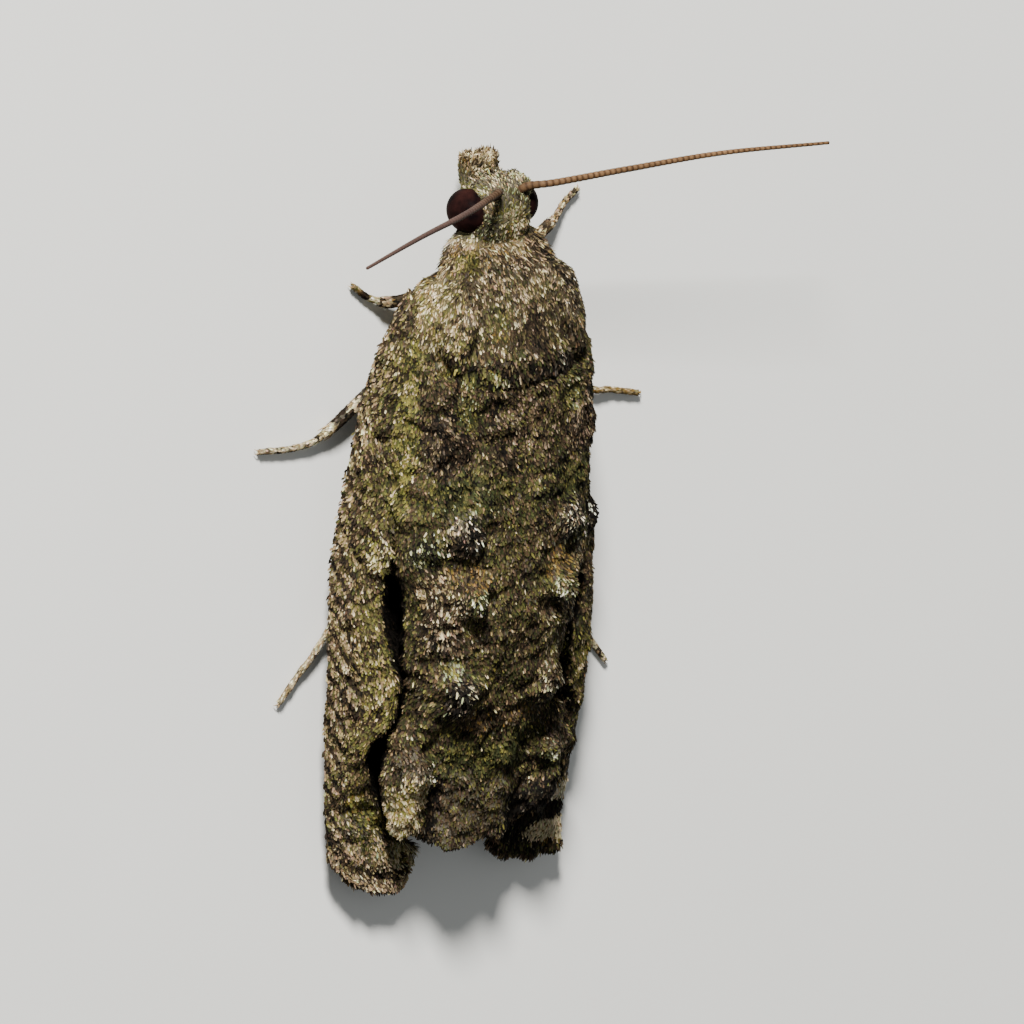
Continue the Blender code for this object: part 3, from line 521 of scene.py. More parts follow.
# ---------------------------------------------------------------- materials
class Look:
    """A Principled material in the making. Textures lie in the object's own space."""

    def __init__(self, name):
        self.material = bpy.data.materials.new(name)
        self.material.use_nodes = True
        self.tree = self.material.node_tree
        self.shader = self.tree.nodes["Principled BSDF"]

    def fill(self, node, **sockets):
        """Sets a node's sockets: each takes a plain value, or the output that is joined to it."""
        for name, value in sockets.items():
            socket = node.inputs[name.replace("_", " ")]
            if isinstance(value, bpy.types.NodeSocket):
                self.tree.links.new(value, socket)
            else:
                socket.default_value = value

    def node(self, kind, **sockets):
        """New node of a kind."""
        made = self.tree.nodes.new("ShaderNode" + kind)
        self.fill(made, **sockets)
        return made

    def place(self, size):
        """The object's own space, in units of this many millimetres."""
        own = self.node("TexCoord").outputs["Object"]
        return self.node("Mapping", Vector=own, Scale=[1.0 / (size * MM)] * 3).outputs["Vector"]

    def noise(self, size, detail=3.0):
        """Noise with features of this size in millimetres."""
        return self.node("TexNoise", Vector=self.place(size), Scale=1.0, Detail=detail,
                         Roughness=0.6).outputs["Fac"]

    def carried(self, name, output):
        """What the mesh itself carries."""
        own = self.node("Attribute")
        own.attribute_name = name
        return own.outputs[output]

    def ranged(self, value, low, high, from_low=0.3, from_high=0.7):
        """A texture's value, mapped to a useful range."""
        return self.node("MapRange", Value=value, From_Min=from_low, From_Max=from_high,
                         To_Min=low, To_Max=high).outputs["Result"]

    def shaded(self, colour, factor):
        """A colour, multiplied by a varying grey."""
        blend = self.node("VectorMath")
        blend.operation = "SCALE"
        self.fill(blend, Vector=colour, Scale=factor)
        return blend.outputs["Vector"]

    def ramp(self, value, colours, places=(0.0, 1.0)):
        """A colour between two, by a texture's value."""
        ramp = self.node("ValToRGB", Fac=value)
        for stop, place, colour in zip(ramp.color_ramp.elements, places, colours):
            stop.position = place
            stop.color = (*colour, 1.0)
        return ramp.outputs["Color"]

    def finish(self, height=None, depth=0.0, **sockets):
        """The material, with its shader's sockets filled and bump of a depth in millimetres."""
        self.fill(self.shader, **sockets)
        if height is not None:
            bump = self.node("Bump", Strength=1.0, Distance=depth * MM, Height=height)
            self.fill(self.shader, Normal=bump.outputs["Normal"])
        return self.material


def scale_material(name, grain=0.02, rough=(0.85, 0.35), depth=0.003):
    """Scales or skin that carry their own colours, with fine grain and a little lustre."""
    look = Look(name)
    fine = look.noise(grain)
    broad = look.noise(0.35, detail=2.0)
    colour = look.shaded(look.carried("tint", "Color"), look.ranged(fine, 0.72, 1.22))
    colour = look.shaded(colour, look.ranged(broad, 0.85, 1.15))
    lustre = look.ranged(look.carried("gloss", "Fac"), *rough, 0.0, 1.0)
    return look.finish(fine, depth, Base_Color=colour, Roughness=lustre, Specular_IOR_Level=0.06)


def eye_material():
    """Dark maroon compound eye with fine facets."""
    look = Look("compound_eye")
    facets = look.node("TexVoronoi", Vector=look.place(0.024), Scale=1.0,
                       Randomness=0.35).outputs["Distance"]
    maroon = look.ramp(look.noise(0.25, detail=2.0),
                       ((0.0034, 0.0020, 0.0022), (0.0180, 0.0065, 0.0055)), (0.35, 0.75))
    return look.finish(facets, -0.0015, Base_Color=maroon, Specular_IOR_Level=0.004,
                       Roughness=look.ranged(facets, 0.34, 0.42, 0.0, 0.7))


def horn_material():
    """Horny cuticle of claws and spurs."""
    look = Look("claw_horn")
    grain = look.noise(0.05)
    horn = look.ramp(grain, ((0.16, 0.09, 0.04), (0.40, 0.29, 0.15)), (0.3, 0.7))
    return look.finish(grain, 0.004, Base_Color=horn, Roughness=look.ranged(grain, 0.35, 0.55))


def floor_material():
    """Plain pale studio floor."""
    look = Look("studio_floor")
    grain = look.noise(6.0, detail=2.0)
    return look.finish(Base_Color=look.ramp(grain, ((0.78, 0.79, 0.77), (0.82, 0.83, 0.81))),
                       Roughness=look.ranged(grain, 0.85, 0.95))


SCALES = scale_material("wing_scales")
BODY_SCALES = scale_material("body_scales", grain=0.03)
SKIN = scale_material("moth_skin", grain=0.03, rough=(0.9, 0.6), depth=0.010)
FEELER = scale_material("feeler_scales", grain=0.02, rough=(0.7, 0.4), depth=0.004)


# ---------------------------------------------------------------- scales
class Coat:
    """Scales gathered for one piece: each a thin closed plate, broadest near its toothed tip."""

    # Share along and across of the outline's points, root first
    OUTLINE = np.array(((0.0, 0.0), (0.55, 0.48), (0.96, 0.30), (0.98, -0.26), (0.52, -0.50)))
    TOP = ((0, 1, 4), (1, 2, 3), (1, 3, 4))
    BOTTOM = ((1, 0, 5), (2, 1, 5), (3, 2, 5), (4, 3, 5), (0, 4, 5))
    # Painted shade and highlight along each scale: darker at the root and under the middle, where
    # the scales over it shade it, and lighter towards the tip, where light catches it
    PAINTED_SHADE_AND_HIGHLIGHT = np.array((0.50, 0.92, 1.15, 1.15, 0.92, 0.6))
    CAMBER = 0.12          # of a scale's width
    PATCH = 0.003          # of each scale on the unwrap

    def __init__(self):
        self.vertices, self.tints, self.glosses, self.uvs = [], [], [], []

    def add(self, roots, along, normals, length, width, lift, tint, gloss, uv,
            curl=0.25, thickness=0.008):
        """Plates at these roots, pointing along, and rising from the skin by the lift's slope."""
        count = len(roots)
        along = unit(along - normals * np.sum(along * normals, axis=1, keepdims=True))
        across = np.cross(normals, along)
        ones = np.ones(count)
        length, width, lift = length * ones, width * ones, lift * ones
        ragged = 1.0 + 0.10 * RANDOM.standard_normal((count, 5))
        run = self.OUTLINE[None, :, 0] * ragged
        side = self.OUTLINE[None, :, 1] * np.ones((count, 1))
        rise = (run * lift[:, None] - curl * lift[:, None] * run ** 2) * length[:, None]
        camber = self.CAMBER * (1.0 - np.abs(side) * 2.0) * width[:, None]
        points = (roots[:, None, :]
                  + along[:, None, :] * (run * length[:, None])[..., None]
                  + across[:, None, :] * (side * width[:, None])[..., None]
                  + normals[:, None, :] * (rise + camber)[..., None])
        middle = (roots + along * (0.55 * length)[:, None]
                  + normals * (0.42 * lift * length - thickness)[:, None])
        self.vertices.append(np.concatenate((points, middle[:, None, :]), axis=1).reshape(-1, 3))
        # Each scale's colour, with the painted shade at its root and the painted highlight at its
        # tip
        self.tints.append((tint[:, None, :] * self.PAINTED_SHADE_AND_HIGHLIGHT[None, :, None]).reshape(-1, 3))
        self.glosses.append(np.repeat(gloss * ones, 6))
        spread = np.concatenate((self.OUTLINE, ((0.55, 0.0),)))
        local = (spread - (0.5, 0.0)) * self.PATCH
        self.uvs.append((uv[:, None, :] + local[None, :, ::-1]).reshape(-1, 2))

    def make(self, name, material, slot, nodes=()):
        """The coat's piece."""
        vertices = np.concatenate(self.vertices)
        count = len(vertices) // 6
        pattern = np.array(self.TOP + self.BOTTOM)
        faces = (np.arange(count)[:, None, None] * 6 + pattern[None]).reshape(-1, 3)
        print(name, count, "scales", len(faces), "triangles")
        return add_piece(name, vertices, faces.tolist(), material, slot, nodes,
                         tint=np.concatenate(self.tints), gloss=np.concatenate(self.glosses),
                         uv=np.clip(np.concatenate(self.uvs), 0.0, 1.0), smooth=False)


def picked(weights, points, spread=0.20, patch=0.060, alone=0.35):
    """A colour and a gloss for each scale by its shares of the palette.

    Neighbours match in small patches, but for a share of scales that stand alone.
    """
    count = len(weights)
    field = (0.6 * noise(points, patch, 91) + 0.4 * noise(points, 0.55 * patch, 92)
             + 0.06 * RANDOM.standard_normal(count))
    even = (np.argsort(np.argsort(field)) + 0.5) / count
    even = np.where(RANDOM.random(count) < alone, RANDOM.random(count), even)
    level = np.cumsum(weights, axis=1)
    level /= level[:, -1:]
    choice = (even[:, None] > level).sum(axis=1).clip(0, len(NAMES) - 1)
    tone = np.exp(spread * RANDOM.standard_normal((count, 1)))
    hue = 1.0 + 0.06 * RANDOM.standard_normal((count, 3))
    return np.clip(COLOURS[choice] * tone * hue, 0.0015, 0.92), GLOSS[choice]


# ---------------------------------------------------------------- forewings
def line_weights(splits, lines):
    """Weights of the lines at each step across the wing, for a smooth curve through them."""
    weights = []
    for i in range(lines - 1):
        for t in np.linspace(0.0, 1.0, splits, endpoint=False):
            row = np.zeros(lines + 2)
            row[i:i + 4] += 0.5 * np.array((
                -t + 2 * t ** 2 - t ** 3, 2 - 5 * t ** 2 + 3 * t ** 3,
                t + 4 * t ** 2 - 3 * t ** 3, -t ** 2 + t ** 3))
            row[1] += 2 * row[0]
            row[2] -= row[0]
            row[-2] += 2 * row[-1]
            row[-3] -= row[-1]
            weights.append(row[1:-1])
    weights.append(np.eye(lines)[-1])
    return np.array(weights)


class Sheet:
    """A curved surface as a grid: rows run across it, columns along it."""

    def __init__(self, points, rank, outward):
        self.points = points
        self.rank = rank                       # the line number of each row
        a = np.gradient(points, axis=0)
        b = np.gradient(points, axis=1)
        self.normals = unit(np.cross(a, b)) * outward
        self.inward = -self.normals
        for _ in range(INWARD_ROUNDS):
            padded = np.pad(self.inward, ((1, 1), (2, 2), (0, 0)), mode="edge")
            self.inward = unit(padded[:-2, 2:-2] + padded[2:, 2:-2] + padded[1:-1, :-4]
                               + padded[1:-1, 4:] + padded[1:-1, 2:-2])
        self.along = unit(b)
        self.rows, self.columns = points.shape[:2]

    def sample(self, grid, a, b):
        """A grid's values at fractional rows and columns."""
        i = np.clip(np.floor(a).astype(int), 0, self.rows - 2)
        j = np.clip(np.floor(b).astype(int), 0, self.columns - 2)
        p, q = (a - i)[:, None], (b - j)[:, None]
        return ((grid[i, j] * (1 - p) + grid[i + 1, j] * p) * (1 - q)
                + (grid[i, j + 1] * (1 - p) + grid[i + 1, j + 1] * p) * q)

    def at(self, a, b):
        """Points, normals, directions along the sheet, line numbers, and places on the unwrap."""
        rank = np.interp(a, np.arange(self.rows), self.rank)
        return (self.sample(self.points, a, b), unit(self.sample(self.normals, a, b)),
                unit(self.sample(self.along, a, b)), rank,
                unwrapped(rank / (LINES - 1.0), b / (self.columns - 1.0)))

    def scatter(self, row_step, step, jitter=0.35):
        """Fractional rows and columns of scale roots in staggered rows across the sheet."""
        length = np.linalg.norm(np.diff(self.points, axis=1), axis=2).sum(axis=1).mean()
        found = []
        for k, share in enumerate(np.arange(0.0, 1.0, row_step / length)):
            b = share * (self.columns - 1)
            j = min(int(b), self.columns - 2)
            line = self.points[:, j] * (1 - b + j) + self.points[:, j + 1] * (b - j)
            arc = arc_length(line)
            place = np.arange((0.25 + 0.5 * (k % 2)) * step, arc[-1], step)
            place = place + jitter * step * RANDOM.uniform(-1, 1, len(place))
            drift = jitter * row_step * RANDOM.uniform(-1, 1, len(place)) / length
            found.append((np.interp(place, arc, np.arange(self.rows)),
                          np.full(len(place), b) + drift * (self.columns - 1)))
        a, b = joined(found)
        return a, np.clip(b, 0.0, self.columns - EDGE_GAP)

    def near(self, places, count):
        """Extra places close round some raised spots, where the grid is stretched."""
        flat = self.points.reshape(-1, 3)
        found = []
        for centre, radius, _ in places:
            close = np.flatnonzero(np.linalg.norm(flat - centre, axis=1) < 1.15 * radius)
            chosen = RANDOM.choice(close, count)
            found.append((chosen // self.columns + RANDOM.uniform(-0.5, 0.5, count),
                          chosen % self.columns + RANDOM.uniform(-0.5, 0.5, count)))
        a, b = joined(found)
        return (np.clip(a, 0.0, self.rows - EDGE_GAP), np.clip(b, 0.0, self.columns - EDGE_GAP))


def rear_edge(side, rank):
    """Where a forewing's membrane ends along Y, in front of its fringe."""
    return through(list(enumerate(TERMEN_Y[side])), rank) - FRINGE_REACH


def grid_place(grid, line, y):
    """Row and column of a wing's grid at a place on one of its lines."""
    row = int(round(line * LINE_SPLITS))
    return row, int(np.argmin(np.abs(grid[row, :, 1] - y)))


def forewing_sheet(side):
    """Outer face of a folded forewing, at the middle of its coat, with its tufts and lumps."""
    rank = np.linspace(0.0, LINES - 1.0, (LINES - 1) * LINE_SPLITS + 1)
    start = through(list(enumerate(BASE_Y)), rank)
    end = rear_edge(side, rank)
    share = np.linspace(0.0, 1.0, STATIONS)
    place = start[:, None] + (end - start)[:, None] * share[None, :]
    weights = line_weights(LINE_SPLITS, LINES)
    grid = np.zeros(place.shape + (3,))
    grid[..., 1] = place
    for k, (x_keys, z_keys) in enumerate(WING_LINES):
        grid[..., 0] += weights[:, k, None] * through(x_keys, place)
        grid[..., 2] += weights[:, k, None] * through(z_keys, place)
    grid[..., 2] -= (BASE_DIP * smoothstep(0.24, 0.0, place - start[:, None])
                     * smoothstep(3.6, 2.6, rank)[:, None])
    fold = (np.exp(-((rank[:, None] - GROOVE_LINE) / 0.65) ** 4)
            * smoothstep(0.2, 0.8, place) * smoothstep(5.4, 4.6, place))
    grid[..., 0] -= FOLD_INWARD * fold
    grid[..., 2] -= FOLD_DOWN * fold
    for line, y, radius, spread, height, _ in TUFTS:
        away = (grid - grid[grid_place(grid, line, y)]) * TUFT_SQUASH
        swell = np.exp(-(np.linalg.norm(away, axis=2) / radius) ** 3)
        grid += swell[..., None] * (spread, 0.25 * height, height)
    grid[..., 0] *= SIDES[side]
    smooth = Sheet(grid, rank, SIDES[side])
    seed = RELIEF_SEED[side]
    relief = sum(height * (noise(grid, size, seed + k) - 0.5)
                 for k, (height, size) in enumerate(RELIEF))
    edge = np.minimum(smoothstep(0.0, 0.5, rank), smoothstep(8.0, 7.4, rank))[:, None]
    calm = (0.25 + 0.75 * edge) * (1.0 - 0.8 * groove_cover(rank[:, None], place))
    grid = grid + smooth.normals * (relief * calm)[..., None]
    return Sheet(grid, rank, SIDES[side])


def groove_cover(rank, y):
    """1 in the deep groove along the wing, between its two rims, and 0 outside."""
    return (smoothstep(GROOVE_REACH, 0.75 * GROOVE_REACH, np.abs(rank - GROOVE_LINE))
            * smoothstep(0.35, 0.65, y) * smoothstep(5.0, 4.6, y))


def wing_shares(rank, points, side):
    """Each place's shares of the palette."""
    y = points[:, 1]
    wander = noise(points, 0.35, 34) - 0.5
    shares = GROUND
    for where, line, place, half_lines, half_length, strength, colours in MARKINGS:
        if where in ("both", side):
            away = ((rank - line) / half_lines) ** 2 + ((y - place) / half_length) ** 2
            cover = smoothstep(1.45, 0.65, np.sqrt(away) + 0.7 * wander)
            shares = laid(shares, strength * cover, colours)
    green = noise(points, 0.55, 31)[:, None]
    shares = shares * np.where(IS_GREEN, 0.45 + 1.1 * green, 1.45 - 0.9 * green)
    for size, seed, least, gain in ((0.28, 32, 0.45, 1.3), (0.13, 33, 0.6, 0.8)):
        speckle = smoothstep(0.3, 0.7, noise(points, size, seed)[:, None])
        shares = shares * np.where(IS_DARK, least + gain * speckle, 1.0)
    shares = shares / shares.sum(axis=1, keepdims=True)
    # Painted shadow laid in the deep groove, the right wing's at half strength
    shares = laid(shares, groove_cover(rank, y + 0.3 * wander) * GROOVE_SHADOW_SHARE[side], GROOVE_PAINTED_SHADOW)
    phase = (y - STREAK_SLANT * (8.0 - rank) + 0.14 * wander) / STREAK_STEP
    streak = smoothstep(0.15, 0.45, 0.5 + 0.5 * np.cos(2.0 * math.pi * phase))
    costal = smoothstep(6.8, 7.5, rank + 0.8 * wander)
    if side == "right":
        costal = costal * smoothstep(5.0, 4.6, y)
    shares = laid(shares, costal * streak * 0.75, PALE_STREAK)
    shares = laid(shares, costal * (1.0 - streak) * 0.95, DARK_STREAK)
    rim = rear_edge(side, rank) - y + 0.10 * wander
    apex = smoothstep(5.0, 5.8, rank) * (side == "left")
    shares = laid(shares, 0.8 * apex * smoothstep(0.12, 0.05, np.abs(rim - 0.32)), DARK_STREAK)
    return laid(shares, 0.9 * apex * smoothstep(0.22, 0.10, rim), PALE_RIM)


def tuft_pull(points, side):
    """How strongly each place belongs to a raised tuft, and the way out from its middle."""
    pull = np.zeros(len(points))
    way = np.zeros((len(points), 3))
    for centre, radius, stand in TUFT_PLACES[side]:
        away = points - centre
        distance = np.linalg.norm(away, axis=1)
        share = stand * np.exp(-(distance / (1.05 * radius)) ** 2)
        nearer = share > pull
        pull = np.where(nearer, share, pull)
        way = np.where(nearer[:, None], away / np.maximum(distance, 0.05)[:, None], way)
    return pull, way


def find_tufts(sheet):
    """Middle, radius and standing of each raised tuft on a wing."""
    return [(sheet.points[grid_place(sheet.points, line, y)], radius, stand)
            for line, y, radius, _, _, stand in TUFTS]


def coat_forewing(side, sheet):
    """Outer coat of a forewing: small scales in close rows, longer and raised on the tufts."""
    a, b = joined((sheet.scatter(*WING_STEPS), sheet.near(TUFT_PLACES[side], TUFT_EXTRA)))
    points, normals, along, rank, uv = sheet.at(a, b)
    pull, way = tuft_pull(points, side)
    tint, gloss = picked(wing_shares(rank, points, side), points, alone=0.35 + 1.6 * pull)
    clump = noise(points, 0.16, 41)
    swirl = (noise(points, 0.5, 42) - 0.5) * 1.1
    across = np.cross(normals, along)
    count = len(points)
    turn = swirl + 0.25 * RANDOM.standard_normal(count)
    lean = along * np.cos(turn)[:, None] + across * np.sin(turn)[:, None]
    lean = lean + way * (0.55 * pull)[:, None]
    lean[:, 0] -= SIDES[side] * 0.45 * smoothstep(0.35, 0.05, rank)
    lift = 0.18 + 0.42 * smoothstep(0.5, 0.85, clump) + 0.12 * np.abs(RANDOM.standard_normal(count))
    lift = lift + 0.30 * pull * RANDOM.random(count)
    length = varied(WING_SCALE[0], 0.22, 0.6, 1.6, count) * (1.0 + 0.35 * pull)
    width = varied(WING_SCALE[1], 0.18, 0.6, 1.4, count)
    roots = points - normals * (COAT_DEPTH - WING_ROOTS)
    for stretch, first, last in zip(("back", "shoulder", "side"), PART_LINES, PART_LINES[1:]):
        here = (rank >= first) & (rank < last)
        coat = Coat()
        coat.add(*(values[here] for values in (roots, lean, normals, length, width, lift, tint,
                                               gloss, uv)))
        coat.make("coat_forewing_" + side + "_" + stretch, SCALES, "mossy_wing")


def coat_underwing(side, sheet):
    """Sparser dull scales on the wing's inner face."""
    coat = Coat()
    a, b = sheet.scatter(UNDERWING_STEP, UNDERWING_STEP)
    points, normals, along, _, uv = sheet.at(a, b)
    tint, gloss = picked(np.tile(UNDERWING, (len(a), 1)), points)
    inward = unit(sheet.sample(sheet.inward, a, b))
    inner = points - normals * COAT_DEPTH + inward * WING_THICKNESS
    lean = along + 0.15 * RANDOM.standard_normal((len(a), 3))
    coat.add(inner - inward * 0.01, lean, inward, *UNDERWING_SCALE, 0.16, tint, gloss, uv)
    return coat.make("coat_underwing_" + side, BODY_SCALES, "mossy_wing")


def fringe(side, sheet):
    """Long narrow scales along the wing's rear edge."""
    coat = Coat()
    arc = arc_length(sheet.points[:, -1])
    for layer in range(FRINGE_LAYERS):
        place = np.arange(0.0, arc[-1], FRINGE_STEP)
        place = np.clip(place + 0.01 * RANDOM.standard_normal(len(place)), 0.0, arc[-1])
        a = np.interp(place, arc, np.arange(sheet.rows))
        b = np.full(len(a), sheet.columns - EDGE_GAP - 0.7 * layer)
        points, normals, along, rank, _ = sheet.at(a, b)
        pale = (smoothstep(0.45, 0.6, noise(points, 0.22, 51)) * smoothstep(3.9, 4.5, rank)
                * (1.0 if side == "left" else 0.5))
        edging = laid(DARK_FRINGE, pale, PALE_FRINGE)
        tongue = smoothstep(3.9, 4.2, rank) * smoothstep(6.0, 5.5, rank) * (side == "left")
        shares = laid(wing_shares(rank, points, side), 0.65 * (1.0 - tongue), edging)
        tint, gloss = picked(shares, points)
        drop = -0.25 - 0.08 * layer + 0.10 * RANDOM.standard_normal(len(a))
        lean = along + 0.10 * RANDOM.standard_normal((len(a), 3))
        reach = FRINGE_REACH * (0.95 + 0.25 * RANDOM.random(len(a))) + 0.02 * layer
        uv = unwrapped(rank / (LINES - 1.0), np.full(len(a), 0.98))
        coat.add(points - normals * (COAT_DEPTH + 0.01 * layer), lean, normals, reach,
                 FRINGE_WIDTH, drop, tint, gloss, uv)
    return coat.make("fringe_forewing_" + side, SCALES, "mossy_wing")


# ---------------------------------------------------------------- skin
def sheet_faces(rows, columns):
    """Faces of a thick sheet between two grids of the same size, the outer one first."""
    lower = rows * columns
    faces = []

    def at(i, j):
        return i * columns + j

    for i in range(rows - 1):
        for j in range(columns - 1):
            quad = (at(i, j), at(i, j + 1), at(i + 1, j + 1), at(i + 1, j))
            faces.append(quad)
            faces.append(tuple(lower + v for v in reversed(quad)))
    rim = [at(0, j) for j in range(columns)]
    rim += [at(i, columns - 1) for i in range(1, rows)]
    rim += [at(rows - 1, j) for j in range(columns - 2, -1, -1)]
    rim += [at(i, 0) for i in range(rows - 2, 0, -1)]
    for a, b in zip(rim, rim[1:] + rim[:1]):
        faces.append((b, a, lower + a, lower + b))
    return faces


def tube_mesh(rings):
    """Vertices and faces of a stack of equal rings, closed by a fan at each end."""
    rings = np.asarray(rings)
    count, sides = rings.shape[:2]
    vertices = [*rings.reshape(-1, 3), rings[0].mean(axis=0), rings[-1].mean(axis=0)]
    faces = []
    for i in range(count - 1):
        for j in range(sides):
            k = (j + 1) % sides
            faces.append((i * sides + j, i * sides + k, (i + 1) * sides + k, (i + 1) * sides + j))
    first = count * sides
    last = (count - 1) * sides
    for j in range(sides):
        k = (j + 1) % sides
        faces.append((first, k, j))
        faces.append((first + 1, last + j, last + k))
    return np.array(vertices), faces


def round_rings(path, radii, sides):
    """Round rings square to a path."""
    path = np.asarray(path, float)
    along = unit(np.gradient(path, axis=0))
    side = sideways(along)
    up = np.cross(side, along)
    angle = circle(sides)
    radii = np.asarray(radii)[:, None, None]
    return path[:, None, :] + radii * (np.cos(angle)[None, :, None] * side[:, None, :]
                                       + np.sin(angle)[None, :, None] * up[:, None, :])


def body_loft(sections, inset, sides=36, squareness=2.3, steps=5, shift_x=0.0):
    """Smooth loft through trunk sections, drawn in by the coat's depth."""
    keys = np.array(sections, float)
    places = np.concatenate([np.linspace(a, b, steps, endpoint=False)
                             for a, b in zip(keys[:-1, 0], keys[1:, 0])] + [keys[-1:, 0]])
    across, up = (np.sign(k) * np.abs(k) ** (2.0 / squareness)
                  for k in (np.cos(circle(sides)), np.sin(circle(sides))))
    half_width, top, bottom = (through(keys[:, (0, k)], places)[:, None] for k in (1, 2, 3))
    half_width, top, bottom = half_width - inset, top - inset, bottom + inset
    rings = np.zeros((len(places), sides, 3))
    rings[..., 0] = half_width * across + shift_x
    rings[..., 1] = places[:, None]
    rings[..., 2] = (top + bottom) / 2.0 + (top - bottom) / 2.0 * up
    return tube_mesh(rings)


def tegula_loft(side, inset):
    """Flap of scales over the wing's base."""
    path = smooth_path(TEGULA_LINE, 6)
    path[:, 0] *= SIDES[side]
    tilt = TEGULA_TILT * SIDES[side]
    flat = np.array((math.cos(tilt), 0.0, -math.sin(tilt)))
    rise = np.array((math.sin(tilt), 0.0, math.cos(tilt)))
    angle = circle(20)
    rings = []
    for i, centre in enumerate(path):
        half_width = float(through(TEGULA_HALF_WIDTH, i / (len(path) - 1.0))) - inset
        half_thickness = (TEGULA_HALF_THICKNESS - 0.5 * inset) * min(1.0, half_width / 0.22)
        rings.append(centre + np.outer(half_width * np.cos(angle), flat)
                     + np.outer(half_thickness * np.sin(angle), rise))
    return tube_mesh(rings)


def merged(parts):
    """Several meshes' vertices and faces in one."""
    vertices, faces, first = [], [], 0
    for part_vertices, part_faces in parts:
        vertices.append(np.asarray(part_vertices))
        faces += [tuple(first + v for v in face) for face in part_faces]
        first += len(part_vertices)
    return np.concatenate(vertices), faces


def fused(vertices, faces, voxel, rounds):
    """One closed skin round overlapping closed meshes, smoothed where they meet."""
    mesh = bpy.data.meshes.new("fused")
    mesh.from_pydata(vertices.tolist(), [], faces)
    face_outward(mesh)
    obj = in_scene("fused", mesh)
    remesh = obj.modifiers.new("remesh", "REMESH")
    remesh.mode = "VOXEL"
    remesh.voxel_size = voxel
    smooth = obj.modifiers.new("smooth", "SMOOTH")
    smooth.factor = 0.5
    smooth.iterations = rounds
    result = obj.evaluated_get(bpy.context.evaluated_depsgraph_get()).to_mesh()
    points = np.array([vertex.co[:] for vertex in result.vertices])
    polygons = [tuple(polygon.vertices) for polygon in result.polygons]
    bpy.data.objects.remove(obj, do_unlink=True)
    return points, polygons


def trunk_skin():
    """Head, palps, collar, thorax, tegulae and abdomen as one skin."""
    parts = [body_loft(HEAD_SECTIONS, COAT_DEPTH, squareness=2.7),
             body_loft(COLLAR_SECTIONS, COAT_DEPTH), body_loft(THORAX_SECTIONS, COAT_DEPTH),
             body_loft(ABDOMEN_SECTIONS, COAT_DEPTH, squareness=2.0)]
    for side in SIDES:
        parts.append(tegula_loft(side, TEGULA_INSET[side]))
        sections = [(y, k * PALP_HALF_WIDTH, top, bottom) for y, k, top, bottom in PALP_SECTIONS]
        parts.append(body_loft(sections, COAT_DEPTH, sides=20, squareness=2.8,
                               shift_x=SIDES[side] * (PALP_HALF_WIDTH - COAT_DEPTH)))
        parts.append(body_loft(WING_ROOT_SECTIONS, 0.0, sides=24, squareness=2.2,
                               shift_x=SIDES[side] * WING_ROOT_X))
        foot = np.array(SCAPE_FOOT) * (SIDES[side], 1.0, 1.0)
        parts.append(tube_mesh(round_rings(np.linspace(foot - (0, 0, 0.15), foot + (0, 0, 0.03), 4),
                                           (0.10, 0.12, 0.12, 0.08), 14)))
    parts.append(body_loft(EYE_TUFT_SECTIONS, 0.0, sides=20, shift_x=EYE_TUFT_X))
    return fused(*merged(parts), TRUNK_VOXEL, TRUNK_SMOOTHING)


BODY_GROUND = mix(black=4, umber=15, moss=6, brown=18, grey=12, olive=15, tan=16, rose=5, cream=11)
